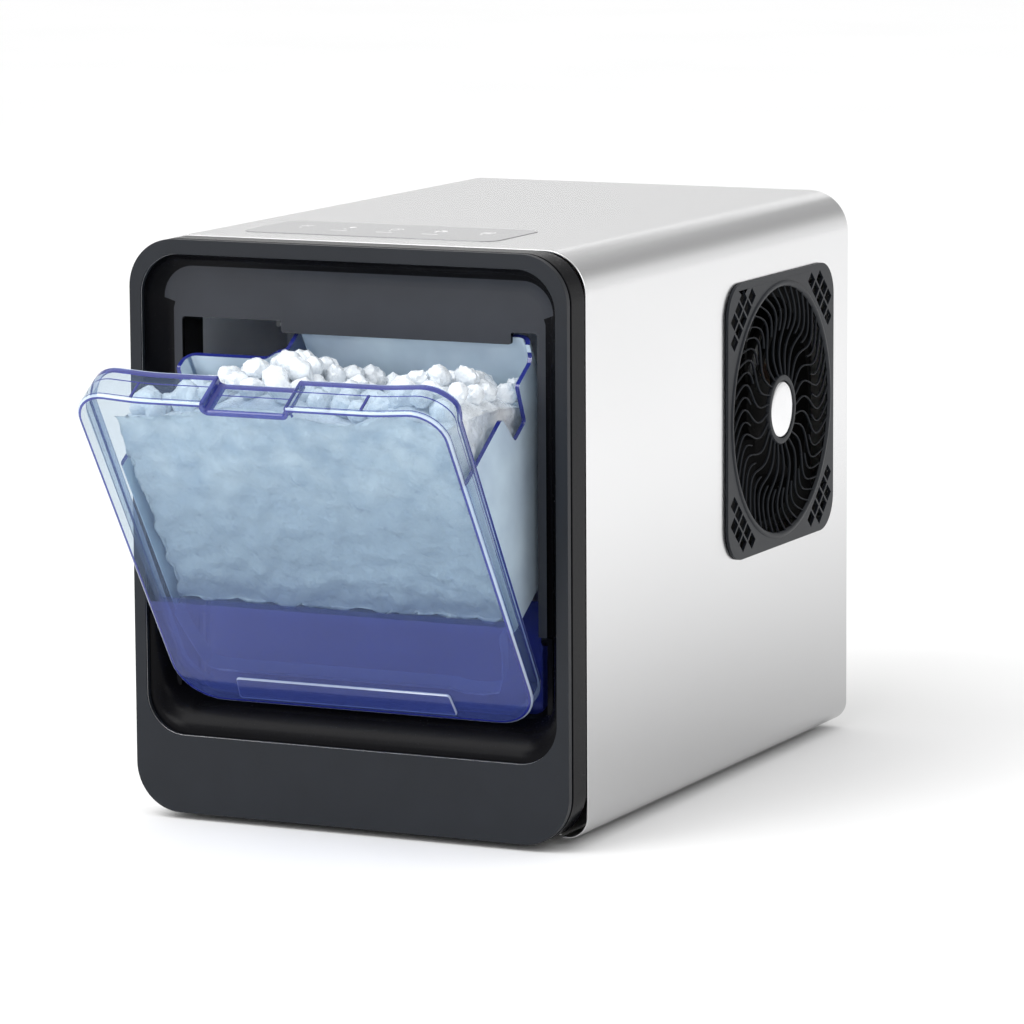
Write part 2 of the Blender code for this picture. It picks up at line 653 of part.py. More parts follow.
def build_compressor():
    centre = (COMPRESSOR_X, COMPRESSOR_Y, 0)
    profile = [(0, 150), (31, 150), (42, 147), (49, 140), (52, 128), (52, 92), (54.5, 92),
               (54.5, 87), (52, 87), (52, 50), (48, 38), (38, 29), (22, 24), (0, 24)]
    body = [(r * MM, z * MM) for r, z in profile]
    smooth(turned("compressor", body, "Z", centre, "enamel", steps=24))
    grommets = [(-60, -38), (60, -38), (0, 62)]
    outline = rounded_rect(COMPRESSOR_X - 72 * MM, COMPRESSOR_X + 72 * MM, COMPRESSOR_Y - 50 * MM,
                           COMPRESSOR_Y + 74 * MM, 12 * MM, 4)
    holes = [circle(COMPRESSOR_X + x * MM, COMPRESSOR_Y + y * MM, 5 * MM, 16) for x, y in grommets]
    plate("compressor_mount", [outline] + holes, "Z", 20.5 * MM, 23.5 * MM, "zinc")
    spool = [(0, 22.6), (4.6, 22.6), (4.6, 20.2), (9.5, 20.2), (9.5, 2.8), (0, 2.8)]
    spool = [(r * MM, z * MM) for r, z in spool]
    for i, (x, y) in enumerate(grommets):
        turned(f"compressor_grommet_{i + 1}", spool, "Z",
               (COMPRESSOR_X + x * MM, COMPRESSOR_Y + y * MM, 0), "rubber", steps=14)
    cover = box("terminal_cover", (-106 * MM, 284 * MM, 96 * MM), (-83 * MM, 316 * MM, 130 * MM),
                "plain")
    bevel(cover, 3 * MM)


def build_ice_drive():
    """The vertical freezing barrel with its auger, coil, ice head, chute and gear motor."""
    spot = (BARREL_X, BARREL_Y)
    ring("evaporator_barrel", 28 * MM, 23.4 * MM, "Z", 122 * MM, 268 * MM, spot, "steel")
    steps = 12
    coil = []
    for i in range(COIL_TURNS * steps + 1):
        turn = 2 * math.pi * i / steps
        coil.append((BARREL_X + COIL_R * math.cos(turn), BARREL_Y + COIL_R * math.sin(turn),
                     COIL_LOW + COIL_PITCH * i / steps))
    tube("evaporator_coil", coil, 3 * MM, "copper", resolution=1)

    auger = cylinder("auger", 8.8 * MM, "Z", 101 * MM, 264 * MM, spot, "steel", steps=24)
    pitch, low, turns, steps = 26 * MM, 126 * MM, 5, 12
    sections = []
    for i in range(turns * steps + 1):
        turn = 2 * math.pi * i / steps
        z = low + pitch * i / steps
        sections.append([(BARREL_X + r * math.cos(turn), BARREL_Y + r * math.sin(turn), z + dz)
                         for r, dz in ((7.5 * MM, -2 * MM), (22.8 * MM, -1 * MM),
                                       (22.8 * MM, 1 * MM), (7.5 * MM, 2 * MM))])
    boolean(auger, loft("auger_flight", sections), "UNION")

    head = [(0, 288), (22, 288), (28, 284), (28, 268.3), (23.4, 268.3), (23.4, 282), (0, 282)]
    head = [(r * MM, z * MM) for r, z in head]
    cap = smooth(turned("ice_head", head, "Z", (*spot, 0), "plain"))
    boolean(cap, box("ice_exit", (BARREL_X - 14 * MM, 160 * MM, 269 * MM),
                     (BARREL_X + 14 * MM, 188 * MM, 281 * MM)))
    wide, wall, low, high = 18 * MM, 2 * MM, 262 * MM, 279 * MM
    channel = [(-wide, high), (-wide, low), (wide, low), (wide, high), (wide - wall, high),
               (wide - wall, low + wall), (-wide + wall, low + wall), (-wide + wall, high)]
    channel = [(BARREL_X + x, z) for x, z in channel]
    plate("ice_chute", [channel], "Y", 98 * MM, 165.5 * MM, "plain")

    motor = box("gear_motor", (-110 * MM, 158 * MM, 64 * MM), (-42 * MM, 234 * MM, 100 * MM),
                "aluminium")
    collar = cylinder("motor_collar", 26 * MM, "Z", 98 * MM, 121.7 * MM, spot)
    boolean(motor, collar, "UNION")
    can = cylinder("motor_can", 24 * MM, "Z", 22 * MM, 66 * MM, (-76 * MM, 198 * MM))
    boolean(motor, can, "UNION")
    boolean(motor, cylinder("motor_bore", 9.2 * MM, "Z", 100.6 * MM, 130 * MM, spot, steps=24))


def build_pipes():
    """Refrigerant pipes, drier and water hoses, each along its own route."""
    coil_x = BARREL_X + COIL_R
    coil_top = COIL_LOW + COIL_PITCH * COIL_TURNS
    drier = [(0, 122), (3, 122), (3, 117), (8.5, 110), (8.5, 72), (3, 65), (3, 60), (0, 60)]
    drier = [(r * MM, z * MM) for r, z in drier]
    smooth(turned("filter_drier", drier, "Z", (40 * MM, 214 * MM, 0), "copper", steps=20))
    routes = {
        "discharge_pipe": (3, "copper", [(-10, 285, 151), (-10, 285, 170), (8, 262, 196),
                                         (34, 226, 228), (55, 208, 247), (64, 216, 250),
                                         (64, 227.2, 250)]),
        "liquid_pipe": (2.5, "copper", [(64, 227.2, 155), (64, 220, 155), (57, 213, 150),
                                        (44, 213, 140), (40, 214, 130), (40, 214, 122.4)]),
        "capillary_tube": (1.5, "copper", [(40, 214, 59.6), (40, 216, 48), (20, 236, 44),
                                           (-14, 240, 70), (-30, 236, 104), (-34, 205, 128),
                                           (-41, 186, 137.6), (coil_x / MM, 194.1, COIL_LOW / MM)]),
        "suction_pipe": (3.5, "copper", [(coil_x / MM, 196.2, coil_top / MM),
                                         (coil_x / MM, 206, coil_top / MM + 1), (-42, 232, 252),
                                         (-46, 262, 226), (-52, 282, 186), (-52, 284, 166),
                                         (-52, 284, 151)]),
        "feed_hose": (4, "hose", [(-10, 180, 60.8), (-10, 180, 72), (-18, 166, 96),
                                  (-46, 154, 116), (-75, 154, 124), (-75, 159, 128),
                                  (-75, 166.2, 128)]),
        "intake_hose": (4, "hose", [(10, 138.2, 32), (10, 148, 32), (4, 158, 31), (0, 163, 30)]),
        "drain_hose": (4.5, "hose", [(60, 138.2, 30), (60, 150, 30), (64, 200, 26), (70, 300, 24),
                                     (DRAIN_X / MM, 350, 27), (DRAIN_X / MM, 376, DRAIN_Z / MM),
                                     (DRAIN_X / MM, 385.2, DRAIN_Z / MM)]),
    }
    for name, (radius, finish, points) in routes.items():
        path = route([[c * MM for c in point] for point in points], 3)
        tube(name, path, radius * MM, finish, resolution=1)
    pump = [(0, 60), (5, 60), (5, 50), (17, 50), (19, 47), (19, 22), (22, 22), (22, 2.8), (0, 2.8)]
    pump = [(r * MM, z * MM) for r, z in pump]
    turned("water_pump", pump, "Z", (-10 * MM, 180 * MM, 0), "plain", steps=28)


# ---------------------------------------------------------------- cavity and water
def build_cavity():
    wall = 1.8 * MM
    liner = box("cavity_liner", (-111 * MM, 39.3 * MM, 17.5 * MM), (111 * MM, 143 * MM, 283 * MM),
                "liner")
    boolean(liner, box("cavity_space", (-111 * MM + wall, 30 * MM, 17.5 * MM + wall),
                       (111 * MM - wall, 143 * MM - wall, 283 * MM - wall)))
    boolean(liner, box("chute_hole", (BARREL_X - 18.5 * MM, 135 * MM, 261.5 * MM),
                       (BARREL_X + 18.5 * MM, 150 * MM, 279.6 * MM)))
    for name, x, z, radius in (("intake", 10, 32, 4.4), ("drain", 60, 30, 4.9)):
        boolean(liner, cylinder(f"{name}_hole", radius * MM, "Y", 138.5 * MM, 150 * MM,
                                (x * MM, z * MM), steps=20))
    tank = box("water_tank", (-102.5 * MM, 32 * MM, 20 * MM), (102.5 * MM, 137.2 * MM, 124 * MM),
               "tank_blue")
    boolean(tank, box("tank_space", (-100.3 * MM, 34.2 * MM, 22.2 * MM),
                      (100.3 * MM, 135 * MM, 140 * MM)))
    slots = [rounded_rect(x, x + 6 * MM, 60 * MM, 120 * MM, 2.9 * MM, 2)
             for x in (-93 * MM + 15 * MM * i for i in range(13)) if not 55 * MM < x < 85 * MM]
    lid = [rect(-102.5 * MM, 102.5 * MM, 32 * MM, 137.2 * MM)] + slots
    plate("tank_lid", lid, "Z", 124.3 * MM, 127.8 * MM, "tank_blue")
    stem = [(0, 124), (3, 124), (3, 118), (2, 118), (2, 52.5), (5, 52.5), (5, 50), (2, 50),
            (2, 28), (6, 28), (6, 22.5), (0, 22.5)]
    stem = [(r * MM, z * MM) for r, z in stem]
    turned("float_stem", stem, "Z", (72 * MM, 100 * MM, 0), "plain", steps=20)
    floater = [(2.5, 68), (10, 68), (11, 66), (11, 55), (10, 53), (2.5, 53)]
    floater = [(r * MM, z * MM) for r, z in floater]
    turned("tank_float", floater, "Z", (72 * MM, 100 * MM, 0), "plain", steps=24, closed=True)
    sensor = box("ice_level_sensor", (60 * MM, 127 * MM, 226 * MM), (86 * MM, 140.8 * MM, 254 * MM),
                 "enamel")
    bevel(sensor, 2 * MM)


def build_drain():
    profile = [(4, 401.5), (10, 401.5), (10, 399.3), (7, 399.3), (7, 386), (4, 386)]
    profile = [(r * MM, (y * MM)) for r, y in profile]
    turned("drain_spout", profile, "Y", (DRAIN_X, 0, DRAIN_Z), "enamel", steps=24, closed=True)
    plug = [(0, 404.8), (8, 404.8), (9, 404), (9, 401.8), (3.6, 401.8), (3.6, 392), (0, 391)]
    plug = [(r * MM, (y * MM)) for r, y in plug]
    smooth(turned("drain_plug", plug, "Y", (DRAIN_X, 0, DRAIN_Z), "rubber", steps=24))


# ---------------------------------------------------------------- tilting bin
def shut(t, n):
    """Design-frame Y and Z, from the hinge, of a point on the shut bin."""
    return n - HINGE_N, t - HINGE_T


def bin_box(name, low_x, high_x, low_t, high_t, low_n, high_n, finish=None):
    low_y, low_z = shut(low_t, low_n)
    high_y, high_z = shut(high_t, high_n)
    return box(name, (low_x, low_y, low_z), (high_x, high_y, high_z), finish, BIN)


def door_outline(inset, steps=8):
    low_z, high_z = -HINGE_T + inset, DOOR_H - HINGE_T - inset
    half = DOOR_HALF_W - inset
    return rounded_rect(-half, half, low_z, high_z, DOOR_R - inset, steps)


def build_door_shell():
    face = -HINGE_N
    door = plate("door_shell", [door_outline(0)], "Y", face, face + RIM_DEPTH, "blue_clear", BIN)
    bevel(door, 3 * MM, 3)
    hollow = plate("door_hollow", [door_outline(RIM_T)], "Y", face + DOOR_T,
                   face + RIM_DEPTH + 5 * MM, None, BIN)
    boolean(door, hollow)
    flange_half = DOOR_HALF_W - DOOR_R + 8 * MM
    flange = bin_box("top_flange", -flange_half, flange_half, DOOR_H - RIM_T, DOOR_H,
                     RIM_DEPTH - 3.5 * MM, TOP_RIM_DEPTH)
    boolean(door, flange, "UNION")
    notch_t = DOOR_H - 5.5 * MM
    boolean(door, bin_box("grip_floor", -33 * MM, 20 * MM, notch_t - RIM_T, notch_t + MM,
                          2 * MM, TOP_RIM_DEPTH), "UNION")
    boolean(door, bin_box("grip_notch", -30.5 * MM, 17.3 * MM, notch_t, DOOR_H + 9 * MM, -5 * MM,
                          TOP_RIM_DEPTH + 5 * MM))
    foot = [(-73 * MM, 4.5 * MM), (61 * MM, 4.5 * MM), (60 * MM, 19.5 * MM), (-71 * MM, 19.5 * MM)]
    foot = [(x, t - HINGE_T) for x, t in foot]
    boolean(door, plate("foot_pad", [foot], "Y", face - 1.2 * MM, face + MM, None, BIN), "UNION")
    boolean(door, bin_box("foot_web", -71 * MM, 60 * MM, 17.5 * MM, 19.5 * MM, 3 * MM,
                          RIM_DEPTH - MM), "UNION")


def build_bin_tray():
    """The ice tray behind the door: floor, front, sides and a stepped back with a low left end."""
    tray = bin_box("bin_tray", -TRAY_HALF_W, TRAY_HALF_W, TRAY_FLOOR, 174 * MM, TRAY_FRONT,
                   TRAY_BACK, "blue_clear")
    inner = TRAY_HALF_W - TRAY_T
    boolean(tray, bin_box("tray_space", -inner, inner, TRAY_FLOOR + TRAY_T, 200 * MM,
                          TRAY_FRONT + TRAY_T, TRAY_STEP - TRAY_T))
    boolean(tray, bin_box("tray_back_space", -38 * MM, inner, TRAY_FLOOR + TRAY_T, 200 * MM,
                          TRAY_STEP - 10 * MM, TRAY_BACK - TRAY_T))
    boolean(tray, bin_box("left_step", -TRAY_HALF_W - MM, -38 * MM - TRAY_T, TRAY_FLOOR - MM,
                          200 * MM, TRAY_STEP, TRAY_BACK + MM))
    step = [(-TRAY_HALF_W - MM, 164.5), (-53 * MM, 164.5), (-44 * MM, 170), (-37.5 * MM, 170),
            (-35 * MM, 200), (-TRAY_HALF_W - MM, 200)]
    step = [(x, t * MM - HINGE_T) for x, t in step]
    boolean(tray, plate("left_low_top", [step], "Y", 94 * MM - HINGE_N, 130 * MM - HINGE_N, None,
                        BIN))
    cut = [(-5, 162), (65.5, 163), (71, 142.5), (87.5, 142.5), (91, 164.5), (TRAY_BACK / MM - 3, 164.5),
           (TRAY_BACK / MM - 3, 200), (-5, 200)]
    cut = [shut(t * MM, n * MM) for n, t in cut]
    for side, sign in (("left", -1), ("right", 1)):
        reach = [sign * (TRAY_HALF_W + MM), sign * (inner - MM)]
        boolean(tray, plate(f"side_profile_{side}", [cut], "X", min(reach), max(reach), None, BIN))
        lug = [sign * (TRAY_HALF_W - 0.8 * MM), sign * (TRAY_HALF_W + 2.6 * MM)]
        boolean(tray, bin_box(f"hinge_lug_{side}", min(lug), max(lug), 25 * MM, 66 * MM, 24 * MM,
                              43 * MM), "UNION")
        pin = [sign * (TRAY_HALF_W + 2.9 * MM), sign * 115.2 * MM]
        cylinder(f"hinge_pin_{side}", PIN_R, "X", min(pin), max(pin), (0, 0), "chrome", BIN, 24)


def main():
    build_front_frame()
    build_trim_ring()
    build_steel_wrap()
    build_control()
    build_recess()
    build_base()
    build_rear()
    build_power_inlet()
    build_grille()
    build_fan()
    build_condenser()
    build_compressor()
    build_ice_drive()
    build_pipes()
    build_cavity()
    build_drain()
    build_door_shell()
    build_bin_tray()


clear_scene()
PARTS = new_collection("ice_maker")
CUTTERS = new_collection("cutters")
BODY = new_empty("body_frame", location=(0, FRONT_Y, FOOT_H))
BIN = new_empty("bin_hinge", BODY, (0, HINGE_Y, HINGE_Z), OPEN_ANGLE)
main()
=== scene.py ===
"""The looks of a countertop nugget ice maker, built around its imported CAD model.

Sizes are in metres. The housing's own frame has its origin at the bottom of the front face, in the
middle: +X to the right, +Y to the back, +Z up. A point of the tilting bin is (x, n, t): n runs back
from the door's face, and t runs up the door from its lower edge.
"""
import json
import math
import random

import bmesh
import bpy
from mathutils import Matrix, Vector, noise


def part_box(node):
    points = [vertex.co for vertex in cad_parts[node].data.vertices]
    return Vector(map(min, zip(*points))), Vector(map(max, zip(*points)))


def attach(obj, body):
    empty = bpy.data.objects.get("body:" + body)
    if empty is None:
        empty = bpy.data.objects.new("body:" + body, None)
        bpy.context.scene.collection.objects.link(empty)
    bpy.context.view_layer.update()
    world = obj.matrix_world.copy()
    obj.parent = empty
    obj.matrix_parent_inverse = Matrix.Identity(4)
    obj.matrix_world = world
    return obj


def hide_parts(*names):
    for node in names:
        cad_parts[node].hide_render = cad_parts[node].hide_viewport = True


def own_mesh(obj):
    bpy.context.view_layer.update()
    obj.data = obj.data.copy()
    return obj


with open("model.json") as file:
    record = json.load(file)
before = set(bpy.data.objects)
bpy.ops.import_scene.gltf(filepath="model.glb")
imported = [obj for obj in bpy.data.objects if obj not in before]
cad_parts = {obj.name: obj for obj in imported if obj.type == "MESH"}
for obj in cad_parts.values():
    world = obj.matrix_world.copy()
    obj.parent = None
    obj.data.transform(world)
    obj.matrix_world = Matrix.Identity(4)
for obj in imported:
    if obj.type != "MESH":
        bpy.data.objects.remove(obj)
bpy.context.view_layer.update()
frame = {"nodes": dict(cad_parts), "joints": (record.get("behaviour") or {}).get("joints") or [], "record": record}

MM = 0.001

# The housing, read from the CAD model
FRAME_LOW, FRAME_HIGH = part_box("front_frame")
TRIM_LOW, TRIM_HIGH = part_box("trim_ring")
WRAP_LOW, WRAP_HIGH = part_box("steel_wrap")
GRILLE_LOW, GRILLE_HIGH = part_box("side_grille")
PANEL_LOW, PANEL_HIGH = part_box("control_panel")
ORIGIN = Vector((0, FRAME_LOW.y, FRAME_LOW.z))
HALF_W = FRAME_HIGH.x
BODY_H = FRAME_HIGH.z - ORIGIN.z
BODY_D = WRAP_HIGH.y - ORIGIN.y
FRAME_T = FRAME_HIGH.y - ORIGIN.y
TRIM_START = TRIM_LOW.y - ORIGIN.y
TRIM_END = TRIM_HIGH.y - ORIGIN.y
WRAP_START = WRAP_LOW.y - ORIGIN.y
GAP = 0.3 * MM

FRAME_R = 27 * MM
FRAME_SIDE = 7 * MM
FRAME_TOP = 8.1 * MM
FRAME_FOOT = 43.8 * MM
FRAME_INNER_R = 23 * MM
TRIM_WALL = 3.5 * MM
SHEET = 1 * MM
WRAP_TOP_R = 24 * MM
WRAP_FOOT_R = 12 * MM
WRAP_FLANGE = 15 * MM

# The recess behind the front frame
FASCIA_Y = 15 * MM
FASCIA_T = 2.5 * MM
FLAT_HALF_W = 112 * MM
FLAT_LOW = 75 * MM
FLAT_HIGH = 298 * MM
FLAT_R = 14 * MM
WINDOW_HALF_W = 108 * MM
WINDOW_TOP = 276 * MM
LINTEL_Z = 269.5 * MM
LINTEL_LEFT = -46.5 * MM
LINTEL_RIGHT = 92.5 * MM
ROLL_DEPTH = 30 * MM
ROLL_TOP = 63.8 * MM
ROLL_SIDE = 2 * MM
SILL_HALF_W = 112.5 * MM
SEAM_Z = 111 * MM
JAMB_END = 38.8 * MM
JAMB_TOP = 280 * MM
JAMB_T = 2.5 * MM
CHEEK_T = 3 * MM

# The tilting bin
TILT = next(j for j in frame["joints"] if j["name"] == "bin_tilt")
HINGE = Vector(TILT["pos_m"])
OPEN_ANGLE = math.radians(TILT["range_deg"][1] - TILT["range_deg"][0])
HINGE_T = 33.7 * MM
HINGE_N = 33.5 * MM
DOOR_HALF_W = 110.5 * MM
DOOR_H = 220 * MM
DOOR_R = 26 * MM
TOP_R = 19 * MM
FLARE = 3.6 * MM
FLARE_START = 70 * MM
FLARE_R = 150 * MM
DOOR_T = 4 * MM
RIM_T = 3 * MM
RIM_DEPTH = 14 * MM
TOP_RIM_DEPTH = 24 * MM
NOTCH_LEFT = -30.5 * MM
NOTCH_RIGHT = 17.3 * MM
NOTCH_DEPTH = 5.5 * MM
TRAY_HALF_W = 104 * MM
TRAY_T = 2.5 * MM
TRAY_FRONT = 10 * MM
TRAY_BACK = 122 * MM
TRAY_STEP = 104 * MM
TRAY_FLOOR = 57.5 * MM
LOW_ZONE = 73 * MM

# The ice: how finely the bed is divided, and the loose nuggets
BED_STEPS = (66, 32, 46)
NUGGET_COUNT = 170
NUGGET_TRIES = 6000
NUGGET_SPACING = 11.5 * MM
NUGGET_RADIUS = (6.8, 9.6)

# The grille on the right side
GRILLE_Y = (GRILLE_LOW.y + GRILLE_HIGH.y) / 2 - ORIGIN.y
GRILLE_Z = (GRILLE_LOW.z + GRILLE_HIGH.z) / 2 - ORIGIN.z
GRILLE_HALF = (GRILLE_HIGH.y - GRILLE_LOW.y) / 2
GRILLE_R = 20 * MM
GRILLE_HOLE_INSET = 4 * MM
RING_R = 72.8 * MM
RIB_COUNT = 24
RIB_SWING = math.radians(6.5)
RIB_WAVES = 2.3 * math.pi
HUB_R = 20.5 * MM
HUB_HOLE = 16.8 * MM

HOUSING = Matrix.Translation(ORIGIN)
BIN = (Matrix.Translation(HINGE) @ Matrix.Rotation(OPEN_ANGLE, 4, "X")
       @ Matrix.Translation((0, -HINGE_N, -HINGE_T)))

# Rotations that stand a flat outline across one axis
ACROSS = {"X": (math.pi / 2, 0, math.pi / 2), "Y": (math.pi / 2, 0, 0), "Z": (0, 0, 0)}


# ---------------------------------------------------------------- materials
def node(tree, kind, **settings):
    made = tree.nodes.new(kind)
    for name, value in settings.items():
        setattr(made, name, value)
    return made


def grain(tree, scale, stretch, detail=3.0):
    """A noise in the object's own coordinates; a stretch under 1 draws it out along that axis."""
    place = node(tree, "ShaderNodeTexCoord")
    mapping = node(tree, "ShaderNodeMapping")
    mapping.inputs["Scale"].default_value = stretch
    pattern = node(tree, "ShaderNodeTexNoise")
    pattern.inputs["Scale"].default_value = scale
    pattern.inputs["Detail"].default_value = detail
    tree.links.new(place.outputs["Object"], mapping.inputs["Vector"])
    tree.links.new(mapping.outputs["Vector"], pattern.inputs["Vector"])
    return pattern.outputs["Fac"]


def spread(tree, value, low, high):
    """The noise's middle range, mapped to the values between low and high."""
    steps = node(tree, "ShaderNodeMapRange")
    steps.inputs["From Min"].default_value = 0.3
    steps.inputs["From Max"].default_value = 0.7
    steps.inputs["To Min"].default_value = low
    steps.inputs["To Max"].default_value = high
    tree.links.new(value, steps.inputs["Value"])
    return steps.outputs["Result"]


def tinted(tree, factor, low, high):
    mix = node(tree, "ShaderNodeMix", data_type="RGBA")
    mix.inputs["A"].default_value = (*low, 1)
    mix.inputs["B"].default_value = (*high, 1)
    tree.links.new(factor, mix.inputs["Factor"])
    return mix.outputs["Result"]


def painted_low_shade(tree, tone, painted_shade_colour, low, high):
    """The tone, turning into a darker painted shade colour low on the object, between two heights of the object.
    """
    place = node(tree, "ShaderNodeTexCoord")
    split = node(tree, "ShaderNodeSeparateXYZ")
    rise = node(tree, "ShaderNodeMapRange", interpolation_type="SMOOTHSTEP")
    rise.inputs["From Min"].default_value = low
    rise.inputs["From Max"].default_value = high
    mix = node(tree, "ShaderNodeMix", data_type="RGBA")
    mix.inputs["A"].default_value = (*painted_shade_colour, 1)
    tree.links.new(place.outputs["Object"], split.inputs["Vector"])
    tree.links.new(split.outputs["Z"], rise.inputs["Value"])
    tree.links.new(rise.outputs["Result"], mix.inputs["Factor"])
    tree.links.new(tone, mix.inputs["B"])
    return mix.outputs["Result"]


def shade(colour, factor):
    return tuple(min(channel * factor, 1.0) for channel in colour)


def surface(name, colour, roughness, metallic=0.0, mottle=0.06, mottle_scale=60, grain_scale=900,
            bump=0.05, bump_size=0.1 * MM, wear=0.04, stretch=(1, 1, 1), foot=None, **sockets):
    """A Principled material with mottled colour, uneven gloss and a fine surface grain.

    The foot paints shade low down: a factor that darkens the colour there, and the heights that it fades out
    between.
    """
    made = bpy.data.materials.new(name)
    made.use_nodes = True
    tree = made.node_tree
    shader = tree.nodes["Principled BSDF"]
    cloud = spread(tree, grain(tree, mottle_scale, (1, 1, 1)), 0, 1)
    tone = tinted(tree, cloud, shade(colour, 1 - mottle), shade(colour, 1 + mottle))
    # Painted shade: with a foot, the colour darkens towards the bottom of the object.
    if foot:
        tone = painted_low_shade(tree, tone, shade(colour, foot[0]), foot[1], foot[2])
    tree.links.new(tone, shader.inputs["Base Color"])
    fine = grain(tree, grain_scale, stretch, 4.0)
    tree.links.new(spread(tree, fine, roughness - wear, roughness + wear),
                   shader.inputs["Roughness"])
    relief = node(tree, "ShaderNodeBump")
    relief.inputs["Strength"].default_value = bump
    relief.inputs["Distance"].default_value = bump_size
    tree.links.new(fine, relief.inputs["Height"])
    tree.links.new(relief.outputs["Normal"], shader.inputs["Normal"])
    shader.inputs["Metallic"].default_value = metallic
    for socket, value in sockets.items():
        shader.inputs[socket.replace("_", " ")].default_value = value
    made.diffuse_color = (*colour, 1)
    return made


def clear_plastic(name, body, tint, share, edge_share, roughness=0.06, mottle=0.06):
    """See-through moulded plastic: the share is how much of its own milky body colour shows."""
    made = bpy.data.materials.new(name)
    made.use_nodes = True
    tree = made.node_tree
    shader = tree.nodes["Principled BSDF"]
    cloud = spread(tree, grain(tree, 25, (1, 1, 1)), 0, 1)
    tree.links.new(tinted(tree, cloud, shade(body, 1 - mottle), shade(body, 1 + mottle)),
                   shader.inputs["Base Color"])
    fine = grain(tree, 350, (1, 1, 1))
    tree.links.new(spread(tree, fine, roughness, roughness + 0.05), shader.inputs["Roughness"])
    relief = node(tree, "ShaderNodeBump")
    relief.inputs["Strength"].default_value = 0.015
    relief.inputs["Distance"].default_value = 0.2 * MM
    tree.links.new(fine, relief.inputs["Height"])
    tree.links.new(relief.outputs["Normal"], shader.inputs["Normal"])
    shader.inputs["Coat Weight"].default_value = 0.6
    shader.inputs["Coat Roughness"].default_value = 0.04
    through = node(tree, "ShaderNodeBsdfTransparent")
    tree.links.new(tinted(tree, cloud, shade(tint, 0.97), tint), through.inputs["Color"])
    slant = node(tree, "ShaderNodeLayerWeight")
    slant.inputs["Blend"].default_value = 0.25
    veil = node(tree, "ShaderNodeMapRange")
    veil.inputs["To Min"].default_value = share
    veil.inputs["To Max"].default_value = edge_share
    tree.links.new(slant.outputs["Facing"], veil.inputs["Value"])
    mix = node(tree, "ShaderNodeMixShader")
    tree.links.new(veil.outputs["Result"], mix.inputs["Fac"])
    tree.links.new(through.outputs["BSDF"], mix.inputs[1])
    tree.links.new(shader.outputs["BSDF"], mix.inputs[2])
    tree.links.new(mix.outputs["Shader"], tree.nodes["Material Output"].inputs["Surface"])
    made.diffuse_color = (*body, 0.5)
    return made


